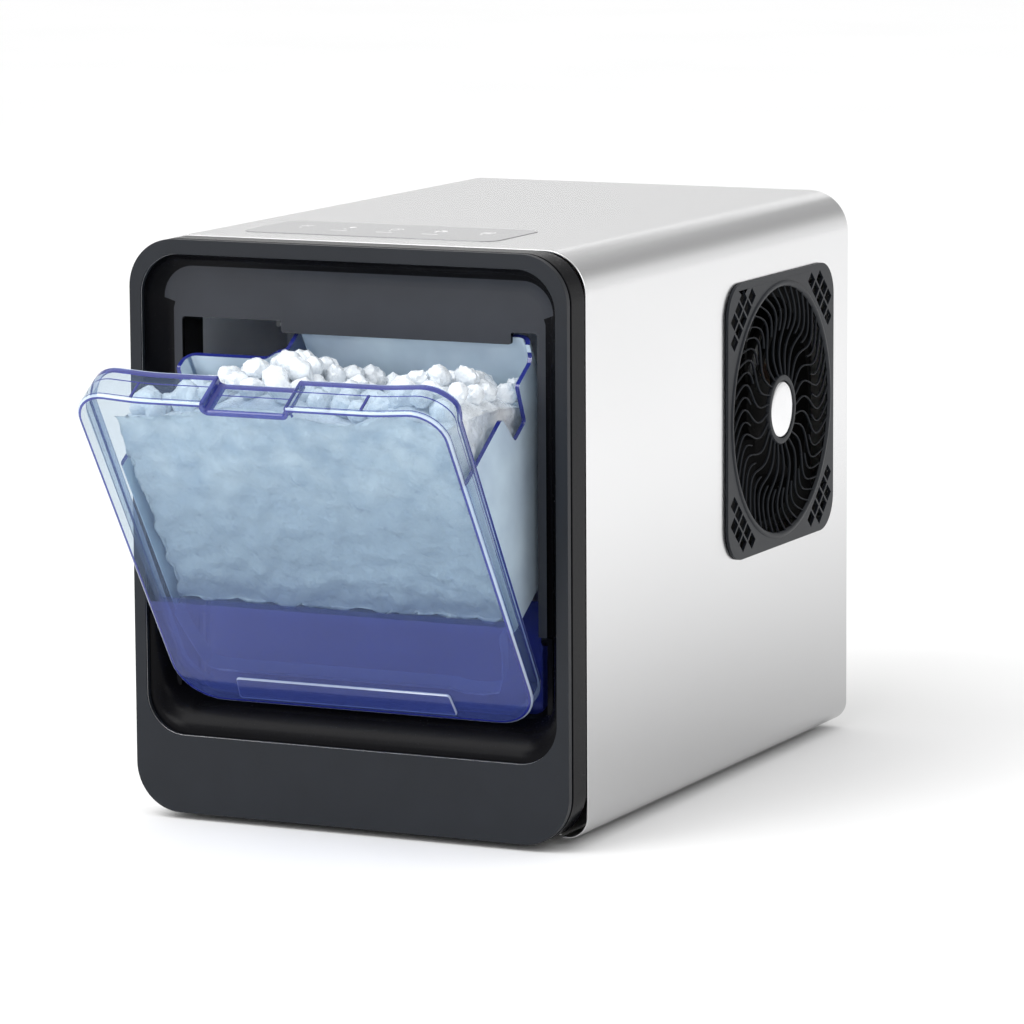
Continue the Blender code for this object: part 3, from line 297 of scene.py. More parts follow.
def make_looks():
    """Every material by name; most of the names are the record's slots."""
    brushed = (1, 0.02, 1)
    return {
        # Painted shade: the steel's foot factor greys the shell towards its bottom, where its sides would darken
        # from shade and floor reflection.
        "steel": surface("brushed_steel", (0.82, 0.82, 0.825), 0.25, 1.0, 0.012, 3, 400, 0.0,
                         wear=0.006, stretch=brushed, foot=(0.62, 0.02, 0.22)),
        "slate": surface("slate_plastic", (0.010, 0.012, 0.016), 0.42, 0.0, 0.08, 40, 2600, 0.10,
                         Specular_IOR_Level=0.22),
        "gloss_black": surface("gloss_black_plastic", (0.003, 0.003, 0.004), 0.24, 0.0, 0.10, 30,
                               700, 0.02, Specular_IOR_Level=0.06),
        "dark_grey": surface("charcoal_plastic", (0.026, 0.029, 0.037), 0.36, 0.0, 0.08, 40, 2400,
                             0.10, Specular_IOR_Level=0.26),
        "liner": surface("liner_plastic", (0.80, 0.80, 0.82), 0.42, 0.0, 0.06, 25, 1200, 0.06),
        "touch": surface("touch_glass", (0.26, 0.26, 0.27), 0.16, 0.0, 0.03, 20, 900, 0.01,
                         Coat_Weight=0.3, Coat_Roughness=0.05, Specular_IOR_Level=0.4),
        # Painted highlight: a light grey line on the black frame's inner edge, standing in for the light its
        # chamfer catches.
        "frame_line": surface("painted_edge_highlight", (0.42, 0.42, 0.43), 0.30, 0.6, 0.03, 60, 1500, 0.02),
        "fan_black": surface("matt_black_plastic", (0.003, 0.003, 0.003), 0.6, 0.0, 0.2, 60, 1800,
                             0.15, Specular_IOR_Level=0.06),
        "icons": surface("printed_white", (0.86, 0.86, 0.86), 0.45, 0.0, 0.03, 200, 2000, 0.02),
        "circuit": surface("circuit_board", (0.03, 0.17, 0.07), 0.45, 0.0, 0.25, 300, 1500, 0.20),
        "blue_clear": clear_plastic("blue_clear_plastic", (0.20, 0.28, 0.46), (0.87, 0.92, 0.94),
                                    0.09, 0.28),
        "blue_deep": clear_plastic("blue_low_plastic", (0.05, 0.075, 0.30), (0.58, 0.66, 0.86),
                                   0.42, 0.70),
        "blue_wall": clear_plastic("blue_thin_wall", (0.16, 0.26, 0.66), (0.86, 0.93, 0.96),
                                   0.08, 0.30),
        # Painted light, partly: the frosted wall's pale body colour stands in for light coming through walls that
        # lie in shade, over the plastic's own milky frost.
        "blue_frost": clear_plastic("blue_frosted_wall_painted_light", (0.62, 0.76, 0.93), (0.86, 0.93, 0.97),
                                    0.74, 0.90, 0.20, 0.16),
        "blue_edge": clear_plastic("blue_edge_plastic", (0.02, 0.028, 0.22), (0.24, 0.30, 0.66),
                                   0.72, 0.90),
        # Painted highlight: the pale body colour draws light lines on the door's fillets, rim edges, pad and web.
        "blue_bright": clear_plastic("blue_painted_edge_highlight", (0.60, 0.70, 0.86), (0.90, 0.94, 0.98),
                                     0.55, 0.85),
        "tank_blue": clear_plastic("tank_blue_plastic", (0.05, 0.07, 0.42), (0.45, 0.52, 0.85),
                                   0.35, 0.80),
        "chrome": surface("polished_metal", (0.86, 0.86, 0.87), 0.14, 1.0, 0.02, 60, 900, 0.02),
        "copper": surface("copper_tube", (0.74, 0.34, 0.18), 0.30, 1.0, 0.12, 70, 900, 0.05),
        "aluminium": surface("aluminium", (0.72, 0.73, 0.74), 0.36, 1.0, 0.05, 60, 1200, 0.08),
        "enamel": surface("black_enamel", (0.012, 0.012, 0.013), 0.34, 0.0, 0.15, 60, 900, 0.08),
        "black_plastic": surface("black_plastic", (0.014, 0.014, 0.015), 0.45, 0.0, 0.10, 60, 1800,
                                 0.12),
        "rubber": surface("rubber", (0.018, 0.018, 0.018), 0.75, 0.0, 0.15, 90, 1800, 0.25),
        "plain": surface("white_plastic", (0.74, 0.74, 0.72), 0.45, 0.0, 0.05, 60, 1500, 0.06),
        "zinc": surface("zinc_plated_steel", (0.62, 0.62, 0.60), 0.42, 1.0, 0.06, 45, 300, 0.05),
        "hose": surface("silicone_hose", (0.78, 0.79, 0.76), 0.38, 0.0, 0.05, 60, 900, 0.05),
        # Painted shade: the packed ice's foot factor darkens it towards the bottom of the bed.
        "packed_ice": surface("packed_ice", (0.80, 0.88, 0.97), 0.34, 0.0, 0.24, 55, 230, 0.8,
                              1.5 * MM, 0.12, foot=(0.62, 0.10, 0.20), Specular_IOR_Level=0.6),
        "ice": surface("nugget_ice", (0.76, 0.81, 0.86), 0.30, 0.0, 0.10, 70, 420, 0.8, 0.9 * MM,
                       0.12, Specular_IOR_Level=0.7),
    }


# ---------------------------------------------------------------- outlines
def outline(corners, inset=0.0, steps=10):
    """A closed outline from (x, y, radius) corners, listed anticlockwise and moved in by inset."""
    points = []
    count = len(corners)
    for i, (x, y, radius) in enumerate(corners):
        before, after = corners[i - 1], corners[(i + 1) % count]
        arriving = Vector((x - before[0], y - before[1])).normalized()
        leaving = Vector((after[0] - x, after[1] - y)).normalized()
        inward = Vector((-arriving.y, arriving.x))
        inward_next = Vector((-leaving.y, leaving.x))
        turn = math.atan2(arriving.cross(leaving), arriving.dot(leaving))
        side = math.copysign(1, turn)
        corner = Vector((x, y)) + (inward + inward_next) * inset / (1 + inward.dot(inward_next))
        bend = max(radius - inset * side, 0.02 * MM)
        start = corner - arriving * bend * math.tan(abs(turn) / 2)
        centre = start + inward * bend * side
        for k in range(steps + 1):
            spoke = Matrix.Rotation(turn * k / steps, 2) @ (start - centre)
            points.append(tuple(centre + spoke))
    return points


def rect_corners(low_x, high_x, low_y, high_y, radius):
    return [(low_x, low_y, radius), (high_x, low_y, radius), (high_x, high_y, radius),
            (low_x, high_y, radius)]


def smoothstep(value, low, high):
    """0 up to low, 1 from high on, and a smooth rise between."""
    share = min(max((value - low) / (high - low), 0), 1)
    return share * share * (3 - 2 * share)


def circle(cx, cy, radius, steps=64):
    turns = [2 * math.pi * i / steps for i in range(steps)]
    return [(cx + radius * math.cos(a), cy + radius * math.sin(a)) for a in turns]


# ---------------------------------------------------------------- meshes
def mesh_from(work):
    bmesh.ops.recalc_face_normals(work, faces=work.faces)
    mesh = bpy.data.meshes.new("shape")
    work.to_mesh(mesh)
    work.free()
    return mesh


def evaluated(obj):
    """A new mesh of the object with its modifiers applied."""
    return bpy.data.meshes.new_from_object(
        obj.evaluated_get(bpy.context.evaluated_depsgraph_get()))


def plate(outlines, axis, low, high):
    """Flat outlines across an axis, the first with the others as holes, from low to high."""
    data = bpy.data.curves.new("outline", "CURVE")
    data.dimensions = "2D"
    data.fill_mode = "BOTH"
    data.extrude = (high - low) / 2
    for points in outlines:
        spline = data.splines.new("POLY")
        spline.points.add(len(points) - 1)
        for point, (x, y) in zip(spline.points, points):
            point.co = (x, y, 0, 1)
        spline.use_cyclic_u = True
    curve = bpy.data.objects.new("outline", data)
    curve.rotation_euler = ACROSS[axis]
    curve.location["XYZ".index(axis)] = (low + high) / 2
    bpy.context.scene.collection.objects.link(curve)
    bpy.context.view_layer.update()
    flat = evaluated(curve)
    work = bmesh.new()
    work.from_mesh(flat)
    work.transform(curve.matrix_world)
    bmesh.ops.remove_doubles(work, verts=work.verts, dist=0.005 * MM)
    bpy.data.objects.remove(curve, do_unlink=True)
    bpy.data.curves.remove(data)
    bpy.data.meshes.remove(flat)
    return mesh_from(work)


def block(low, high):
    work = bmesh.new()
    bmesh.ops.create_cube(work, size=1.0)
    low, high = Vector(low), Vector(high)
    bmesh.ops.scale(work, vec=high - low, verts=work.verts)
    bmesh.ops.translate(work, vec=(low + high) / 2, verts=work.verts)
    return mesh_from(work)


def skin(rows, closed=False, caps=True, zones=None):
    """Join rows with the same number of points; zones gives each band's material index."""
    work = bmesh.new()
    lines = [[work.verts.new(p) for p in row] for row in rows]
    pairs = list(zip(lines, lines[1:]))
    if closed:
        pairs.append((lines[-1], lines[0]))
    count = len(lines[0])
    for band, (row, following) in enumerate(pairs):
        for i in range(count):
            j = (i + 1) % count
            face = work.faces.new((row[i], row[j], following[j], following[i]))
            face.material_index = zones[band] if zones else 0
    if caps and not closed:
        work.faces.new(lines[-1])
        work.faces.new(reversed(lines[0]))
    return mesh_from(work)


def lathe(profile, centre, steps=64):
    """A profile of (radius, x) points, turned about the X axis through centre."""
    place = Matrix.Translation(centre) @ Matrix.Rotation(math.pi / 2, 4, "Y")
    rows = []
    for radius, height in profile:
        radius = max(radius, 0.01 * MM)
        rows.append([place @ Vector((radius * math.cos(a), radius * math.sin(a), height))
                     for a in (2 * math.pi * i / steps for i in range(steps))])
    return skin(rows)


def closed_lathe(profile, centre, steps=96):
    """A ring with a closed profile of (radius, x) points, turned about the X axis."""
    rows = [[(x, centre[1] + radius * math.cos(a), centre[2] + radius * math.sin(a))
             for a in (2 * math.pi * i / steps for i in range(steps))] for radius, x in profile]
    return skin(rows, closed=True)


def tube(path, radius, sides=8, squash=1.0):
    """A round bar along a line of points lying in a plane across X; squash flattens it in X."""
    rows = []
    for i, point in enumerate(path):
        ahead = Vector(path[min(i + 1, len(path) - 1)]) - Vector(path[max(i - 1, 0)])
        across = ahead.cross(Vector((1, 0, 0))).normalized()
        rows.append([Vector(point) + across * radius * math.cos(a)
                     + Vector((1, 0, 0)) * radius * squash * math.sin(a)
                     for a in (2 * math.pi * k / sides for k in range(sides))])
    return skin(rows)


def joined(meshes):
    work = bmesh.new()
    for mesh in meshes:
        work.from_mesh(mesh)
        bpy.data.meshes.remove(mesh)
    return mesh_from(work)


def cut(mesh, *others):
    """The mesh with the other meshes taken out of it."""
    helpers = []
    for shape in (mesh, *others):
        helper = bpy.data.objects.new("helper", shape)
        bpy.context.scene.collection.objects.link(helper)
        helpers.append(helper)
    base = helpers[0]
    for other in helpers[1:]:
        step = base.modifiers.new("step", "BOOLEAN")
        step.operation = "DIFFERENCE"
        step.object = other
    made = evaluated(base)
    for helper in helpers:
        shape = helper.data
        bpy.data.objects.remove(helper, do_unlink=True)
        bpy.data.meshes.remove(shape)
    return made


def piece(name, mesh, looks, body="housing", stands_for=(), place=HOUSING, angle=30,
          bevel=0.0, segments=3):
    """Put a mesh in the scene as a named piece that rides on a CAD body."""
    obj = bpy.data.objects.new(name, mesh)
    bpy.context.scene.collection.objects.link(obj)
    obj.matrix_world = place
    looks = [looks] if isinstance(looks, str) else looks
    for look in looks:
        mesh.materials.append(LOOKS[look])
    mesh.shade_smooth()
    if bevel:
        rounding = obj.modifiers.new("rounding", "BEVEL")
        rounding.width = bevel
        rounding.segments = segments
        rounding.limit_method = "ANGLE"
        rounding.angle_limit = math.radians(40)
        rounding.harden_normals = True
    mesh.set_sharp_from_angle(angle=math.radians(angle))
    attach(obj, body)
    if stands_for:
        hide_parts(*stands_for)
    return obj


# ---------------------------------------------------------------- housing
def body_corners():
    return rect_corners(-HALF_W, HALF_W, 0, BODY_H, FRAME_R)


def inner_corners():
    return rect_corners(-HALF_W + FRAME_SIDE, HALF_W - FRAME_SIDE, FRAME_FOOT, BODY_H - FRAME_TOP,
                        FRAME_INNER_R)


def ring_sweep(corners, section, steps=16):
    """A closed ring: the outline repeated at each (inset, y) point of a closed section."""
    rows = [[(x, y, z) for x, z in outline(corners, inset, steps)] for inset, y in section]
    return skin(rows, closed=True)


def make_front():
    steps = 16
    frame_plate = plate([outline(body_corners(), 0, steps), outline(inner_corners(), 0, steps)],
                        "Y", 0, FRAME_T)
    piece("front_frame_moulding", frame_plate, "slate", stands_for=["front_frame"],
          bevel=1.0 * MM, segments=4)
    # A thin ring round the frame's inner edge, coloured as a painted highlight for its chamfer.
    line = [(0.1 * MM, 0.9 * MM), (-0.5 * MM, 0.35 * MM), (-1 * MM, 0.05 * MM),
            (-1 * MM, 0.6 * MM), (-0.2 * MM, 1.4 * MM)]
    piece("frame_inner_edge_highlight", ring_sweep(inner_corners(), line), "frame_line")
    groove, step = 1.5 * MM, 0.7 * MM
    section = [(groove, TRIM_START), (groove, TRIM_START + groove), (0.3 * MM, TRIM_START + groove),
               (0, TRIM_START + groove + 0.4 * MM), (0, TRIM_END - 2.2 * MM),
               (0.3 * MM, TRIM_END - 1.8 * MM), (step, TRIM_END - 1.7 * MM), (step, TRIM_END),
               (TRIM_WALL, TRIM_END), (TRIM_WALL, TRIM_START)]
    piece("trim_ring_moulding", ring_sweep(body_corners(), section), "gloss_black",
          stands_for=["trim_ring"])


def wrap_section(inset, steps=20):
    """Half of the folded sheet's section, from its right flange to the middle of the top."""
    foot, top = WRAP_FOOT_R - inset, WRAP_TOP_R - inset
    edge = HALF_W - inset
    points = [(HALF_W - WRAP_FLANGE, inset)]
    for cx, cz, radius, first in ((edge - foot, inset + foot, foot, -90),
                                  (edge - top, BODY_H - inset - top, top, 0)):
        for i in range(steps + 1):
            turn = math.radians(first + 90 * i / steps)
            points.append((cx + radius * math.cos(turn), cz + radius * math.sin(turn)))
    return points


def make_wrap():
    rows = []
    lip = 0.3 * MM
    for y, inset in ((WRAP_START, lip), (WRAP_START + lip, 0), (BODY_D - lip, 0), (BODY_D, lip)):
        outer, inner = wrap_section(inset), wrap_section(SHEET - inset)
        section = (outer + [(-x, z) for x, z in reversed(outer)]
                   + [(-x, z) for x, z in inner] + [(x, z) for x, z in reversed(inner)])
        rows.append([(x, y, z) for x, z in section])
    hole = GRILLE_HALF - GRILLE_HOLE_INSET
    vent = outline(rect_corners(GRILLE_Y - hole, GRILLE_Y + hole, GRILLE_Z - hole, GRILLE_Z + hole,
                                GRILLE_R - GRILLE_HOLE_INSET))
    slots = [plate([outline(rect_corners(y, y + 5 * MM, 60 * MM, 130 * MM, 2.4 * MM), 0, 8)], "X",
                   -HALF_W - 5 * MM, -HALF_W + 5 * MM)
             for y in (210 * MM + 14 * MM * i for i in range(9))]
    wrap = cut(skin(rows), plate([vent], "X", HALF_W - 5 * MM, HALF_W + 5 * MM),
               plate([outline(panel_corners(), -GAP)], "Z", BODY_H - 5 * MM, BODY_H + 5 * MM),
               *slots)
    piece("steel_shell", wrap, "steel", stands_for=["steel_wrap"], angle=25)


def panel_corners():
    return rect_corners(PANEL_LOW.x, PANEL_HIGH.x, PANEL_LOW.y - ORIGIN.y, PANEL_HIGH.y - ORIGIN.y,
                        9 * MM)


def recess_loop(inward, back, roll):
    """One loop of the recess: how far it has gone from the frame's edge inwards and back."""
    def mix(start, end):
        return start + (end - start) * inward
    half = mix(HALF_W - FRAME_SIDE, FLAT_HALF_W + (ROLL_SIDE if roll else 0))
    corners = rect_corners(-half, half, mix(FRAME_FOOT, ROLL_TOP if roll else FLAT_LOW),
                           mix(BODY_H - FRAME_TOP, FLAT_HIGH), mix(FRAME_INNER_R, FLAT_R))
    start = FRAME_T + GAP
    depth = start + ((ROLL_DEPTH if roll else FASCIA_Y) - start) * back
    return [Vector((x, depth, z)) for x, z in outline(corners, 0, 10)]


def recess_rows(steps):
    """The recess: a cove round the sides and top, and a rounded roll along the bottom."""
    front = FRAME_T + GAP
    rows = [[(x, front, z) for x, z in outline(inner_corners(), -2.5 * MM, 10)]]
    for i in range(steps + 1):
        turn = math.radians(90) * i / steps
        cove = recess_loop(1 - math.cos(turn), math.sin(turn), False)
        roll = recess_loop(math.sin(turn), 1 - math.cos(turn), True)
        rows.append([a.lerp(b, 1 - smoothstep(a.z, 62 * MM, 100 * MM)) for a, b in zip(cove, roll)])
    return rows


def recess_ring(above):
    """The recess's cove as a shell of even thickness, above or below the seam."""
    ring = skin(recess_rows(10), caps=False)
    if ring.polygons[0].normal.y > 0:
        ring.flip_normals()
    helper = bpy.data.objects.new("helper", ring)
    bpy.context.scene.collection.objects.link(helper)
    thick = helper.modifiers.new("thickness", "SOLIDIFY")
    thick.thickness = FASCIA_T
    thick.offset = -1
    made = evaluated(helper)
    bpy.data.objects.remove(helper, do_unlink=True)
    bpy.data.meshes.remove(ring)
    side = 1 if above else -1
    work = bmesh.new()
    work.from_mesh(made)
    bpy.data.meshes.remove(made)
    bmesh.ops.bisect_plane(work, geom=work.verts[:] + work.edges[:] + work.faces[:],
                           plane_co=(0, 0, SEAM_Z + GAP * side), plane_no=(0, 0, -side),
                           clear_outer=True)
    bmesh.ops.holes_fill(work, edges=[edge for edge in work.edges if edge.is_boundary])
    return mesh_from(work)


def zone_faces(mesh, test):
    """Give the faces that pass the test the second material."""
    for face in mesh.polygons:
        face.material_index = 1 if test(face.center, face.normal) else 0


def make_recess():
    edge, low, high = FLAT_HALF_W + MM, SEAM_Z + GAP, FLAT_HIGH + MM
    flat = [(-edge, low, 0), (-WINDOW_HALF_W, low, 0), (-WINDOW_HALF_W, WINDOW_TOP, 2 * MM),
            (LINTEL_LEFT, WINDOW_TOP, MM), (LINTEL_LEFT, LINTEL_Z, 1.5 * MM),
            (LINTEL_RIGHT, LINTEL_Z, 1.5 * MM), (LINTEL_RIGHT, WINDOW_TOP, MM),
            (WINDOW_HALF_W, WINDOW_TOP, 2 * MM), (WINDOW_HALF_W, low, 0), (edge, low, 0),
            (edge, high, FLAT_R), (-edge, high, FLAT_R)]
    walls = [plate([outline(flat, 0, 4)], "Y", FASCIA_Y, FASCIA_Y + FASCIA_T)]
    cheeks = []
    start = FASCIA_Y + 1.5 * MM
    for sign in (-1, 1):
        jamb = sorted((sign * WINDOW_HALF_W, sign * (WINDOW_HALF_W + JAMB_T)))
        walls.append(block((jamb[0], start, SEAM_Z + GAP), (jamb[1], JAMB_END, JAMB_TOP)))
        cheek = sorted((sign * SILL_HALF_W, sign * (SILL_HALF_W + CHEEK_T)))
        cheeks.append(block((cheek[0], start, ROLL_TOP + 5 * MM),
                            (cheek[1], JAMB_END, SEAM_Z - GAP)))
    fascia = joined([recess_ring(True), *walls])
    zone_faces(fascia, lambda centre, normal: normal.y > -0.9 or abs(centre.y - FASCIA_Y) > MM)
    piece("fascia_moulding", fascia, ["dark_grey", "gloss_black"], stands_for=["fascia"], angle=35)
    piece("sill_moulding", joined([recess_ring(False), *cheeks]), "gloss_black",
          stands_for=["lower_sill"], angle=35)


# ---------------------------------------------------------------- control panel
def bar(x, y, length, width, turn):
    """A flat bar as an outline, centred at x, y and turned by an angle in degrees."""
    spin = Matrix.Rotation(math.radians(turn), 2)
    half, thin = length / 2, width / 2
    return [tuple(Vector((x, y)) + spin @ Vector(corner))
            for corner in ((-half, -thin), (half, -thin), (half, thin), (-half, thin))]


def make_panel():
    top = PANEL_HIGH.z - ORIGIN.z
    glass = plate([outline(panel_corners())], "Z", PANEL_LOW.z - ORIGIN.z, top)
    piece("touch_panel", glass, "touch", stands_for=["control_panel"], bevel=0.25 * MM)
    low, high = top - 0.02 * MM, top + 0.06 * MM
    line = 0.5 * MM
    middle_y = (PANEL_LOW.y + PANEL_HIGH.y) / 2 - ORIGIN.y
    shapes = []
    row = middle_y + 8 * MM
    spots = [PANEL_LOW.x + share * (PANEL_HIGH.x - PANEL_LOW.x)
             for share in (0.14, 0.32, 0.5, 0.68, 0.86)]
    star, drop, clock, grains, tank = spots
    shapes += [plate([bar(star, row, 8 * MM, line, turn)], "Z", low, high) for turn in (0, 60, 120)]
    teardrop = [(drop + 2.6 * MM * math.sin(a) * math.sin(a / 2) ** 1.5,
                 row - 3.4 * MM * math.cos(a)) for a in (2 * math.pi * i / 40 for i in range(40))]
    shapes.append(plate([teardrop], "Z", low, high))
    shapes.append(plate([circle(clock, row, 3.8 * MM), circle(clock, row, 3.3 * MM)], "Z", low, high))
    shapes.append(plate([bar(clock + 0.8 * MM, row, 1.8 * MM, line, 0)], "Z", low, high))
    shapes.append(plate([bar(clock, row + 1.1 * MM, 2.2 * MM, line, 90)], "Z", low, high))
    for dx, dy in ((-2.2, -1.6), (2.2, -1.6), (0, 2)):
        box_outline = bar(grains + dx * MM, row + dy * MM, 3 * MM, 3 * MM, 15 * dx)
        shapes.append(plate([box_outline], "Z", low, high))
    shapes.append(plate([outline(rect_corners(tank - 3.5 * MM, tank + 3.5 * MM, row - 3.5 * MM,
                                              row + 3.5 * MM, MM), 0, 6),
                         outline(rect_corners(tank - 3 * MM, tank + 3 * MM, row - 3 * MM,
                                              row + 3 * MM, 0.6 * MM), 0, 6)], "Z", low, high))
    shapes += [plate([bar(tank, row + dy * MM, 4.5 * MM, line, 0)], "Z", low, high)
               for dy in (-1.2, 0.6)]
    for spot in spots:
        shapes.append(plate([circle(spot, row - 9 * MM, 0.8 * MM, 20)], "Z", low, high))
    for spot in spots[1:4]:
        shapes.append(plate([outline(rect_corners(spot - 5 * MM, spot + 5 * MM, row - 17.2 * MM,
                                                  row - 16.4 * MM, 0.35 * MM), 0, 4)], "Z", low, high))
    piece("panel_icons", joined(shapes), "icons")


# ---------------------------------------------------------------- side grille
def rib_path(start, low, high, depth, steps=28):
    """A rib's centre line: an S between the hub and the ring."""
    points = []
    for i in range(steps + 1):
        radius = low + (high - low) * i / steps
        share = (radius - HUB_R) / (RING_R - HUB_R)
        turn = start + RIB_SWING * math.sin(RIB_WAVES * share)
        points.append((depth, GRILLE_Y + radius * math.cos(turn), GRILLE_Z + radius * math.sin(turn)))
    return points


def corner_diamonds():
    """A lattice of diamond holes in each corner, where they clear the ring and the rounded edge."""
    half_w, half_h = 5.4 * MM, 5.0 * MM
    step_w, step_h = 6.4 * MM, 6.0 * MM
    holes = []
    for sign_y in (-1, 1):
        for sign_z in (-1, 1):
            for i in range(8):
                for k in range(i % 2, 9, 2):
                    u, v = GRILLE_HALF - 9 * MM - i * step_w, GRILLE_HALF - 9 * MM - k * step_h
                    points = [(u - half_w, v), (u, v - half_h), (u + half_w, v), (u, v + half_h)]
                    clear = all(math.hypot(y, z) > RING_R + 4.5 * MM and in_corner(y, z)
                                for y, z in points)
                    if clear:
                        holes.append([(GRILLE_Y + sign_y * y, GRILLE_Z + sign_z * z)
                                      for y, z in points])
    return holes


def in_corner(y, z):
    """Whether a point lies inside the grille's rounded edge, with a margin."""
    centre = GRILLE_HALF - GRILLE_R
    return math.hypot(max(y - centre, 0), max(z - centre, 0)) < GRILLE_R - 3 * MM


def make_grille():
    low, high = GRILLE_LOW.x, GRILLE_HIGH.x
    middle = (low + high) / 2
    square = outline(rect_corners(GRILLE_Y - GRILLE_HALF, GRILLE_Y + GRILLE_HALF,
                                  GRILLE_Z - GRILLE_HALF, GRILLE_Z + GRILLE_HALF, GRILLE_R), 0, 12)
    face = plate([square, circle(GRILLE_Y, GRILLE_Z, RING_R, 96)] + corner_diamonds(), "X", low,
                 high - 0.4 * MM)
    piece("grille_plate", face, "slate", stands_for=["side_grille"], bevel=0.2 * MM, segments=2)
    centre = (0, GRILLE_Y, GRILLE_Z)
    rim = [(RING_R - 0.6 * MM, low), (RING_R - 1.2 * MM, middle), (RING_R - 0.6 * MM, high),
           (RING_R + 0.8 * MM, high + 0.3 * MM), (RING_R + 2.2 * MM, high),
           (RING_R + 2.8 * MM, middle)]
    hub = [(HUB_HOLE, low), (HUB_HOLE, high), (HUB_HOLE + 1.2 * MM, high + 0.3 * MM),
           (HUB_R - 0.6 * MM, high), (HUB_R, middle), (HUB_R, low)]
    shapes = [closed_lathe(rim, centre), closed_lathe(hub, centre)]
    for i in range(RIB_COUNT):
        start = 2 * math.pi * i / RIB_COUNT
        shapes.append(tube(rib_path(start, HUB_R - MM, RING_R, middle), 0.45 * MM, squash=2.0))
        shapes.append(tube(rib_path(start + math.pi / RIB_COUNT, HUB_R + 0.5 * (RING_R - HUB_R), RING_R,
                                    middle, 16), 0.4 * MM, squash=2.0))
    piece("grille_ribs", joined(shapes), "slate", angle=50)
    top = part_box("hub_disc")[1].x
    disc = [(0.2 * MM, top), (6 * MM, top - 0.02 * MM), (12 * MM, top - 0.15 * MM),
            (15.2 * MM, top - 0.4 * MM), (16 * MM, top - 0.75 * MM), (16.4 * MM, top - 1.2 * MM),
            (16.4 * MM, low), (0.2 * MM, low)]
    piece("hub_badge_disc", lathe(disc, centre), "chrome", stands_for=["hub_disc"], angle=40)


# ---------------------------------------------------------------- door
def door_corners():
    notch = DOOR_H - NOTCH_DEPTH
    return [(-DOOR_HALF_W, 0, DOOR_R), (DOOR_HALF_W, 0, DOOR_R),
            (DOOR_HALF_W, DOOR_H + FLARE, TOP_R), (FLARE_START, DOOR_H, FLARE_R),
            (NOTCH_RIGHT, DOOR_H, 1.6 * MM), (NOTCH_RIGHT, notch, 2.2 * MM),
            (NOTCH_LEFT, notch, 2.2 * MM), (NOTCH_LEFT, DOOR_H, 1.6 * MM),
            (-FLARE_START, DOOR_H, FLARE_R), (-DOOR_HALF_W, DOOR_H + FLARE, TOP_R)]


def rim_depth(t):
    """The rim's depth: it grows from the sides' to the top's round the upper corners."""
    return RIM_DEPTH + (TOP_RIM_DEPTH - RIM_DEPTH) * smoothstep(t, DOOR_H - 26 * MM, DOOR_H - 8 * MM)


def door_section():
    """The door's section as (inset, share of the rim's depth, extra depth, zone that follows)."""
    # Bands in the third zone carry painted highlight: pale lines along the front fillet and the rim's rear edge.
    clear, deep, painted_highlight = 0, 1, 2
    edge = 1.8 * MM
    section = [(edge + 0.7 * MM, 0, 0, deep)]
    for i, zone in enumerate((deep, painted_highlight, painted_highlight, clear, deep)):
        turn = math.radians(90) * i / 4
        section.append((edge * (1 - math.sin(turn)), 0, edge * (1 - math.cos(turn)), zone))
    section += [(0, 0, edge + 0.6 * MM, clear), (0, 13.3 / 24, 0, deep), (0, 14.2 / 24, 0, clear),
                (0, 19 / 24, 0, deep), (0, 1, -1.3 * MM, painted_highlight), (0.5 * MM, 1, -0.3 * MM, painted_highlight),
                (1.3 * MM, 1, 0, painted_highlight), (RIM_T - 0.5 * MM, 1, -0.3 * MM, deep),
                (RIM_T, 1, -1.3 * MM, clear), (RIM_T, 0, DOOR_T + 2 * MM, clear),
                (RIM_T + 0.6 * MM, 0, DOOR_T + 0.6 * MM, clear), (RIM_T + 2 * MM, 0, DOOR_T, clear)]
    return section


def make_door():
    rows, zones = [], []
    for inset, share, extra, zone in door_section():
        rows.append([(x, rim_depth(t) * share + extra, t)
                     for x, t in outline(door_corners(), inset, 10)])
        zones.append(zone)
    work = bmesh.new()
    shell = skin(rows, zones=zones)
    work.from_mesh(shell)
    bpy.data.meshes.remove(shell)
    bmesh.ops.bisect_plane(work, geom=work.verts[:] + work.edges[:] + work.faces[:],
                           plane_co=(0, 0, LOW_ZONE), plane_no=(0, 0, 1))
    door = mesh_from(work)
    deep, low = 1, 3
    whole_face = 1000 * MM * MM
    for face in door.polygons:
        x, n, t = face.center
        by_wall = min(abs(x - NOTCH_LEFT), abs(x - NOTCH_RIGHT)) < 2.6 * MM
        in_notch = NOTCH_LEFT < x < NOTCH_RIGHT and n < 2.5 * MM
        if face.area > whole_face:
            face.material_index = low if t < LOW_ZONE else 0
        elif t > DOOR_H - 9 * MM and (by_wall or in_notch):
            face.material_index = deep
    piece("door", door, ["blue_clear", "blue_edge", "blue_bright", "blue_deep"], "bin",
          ["door_shell"], BIN, angle=40)
    make_door_trim()


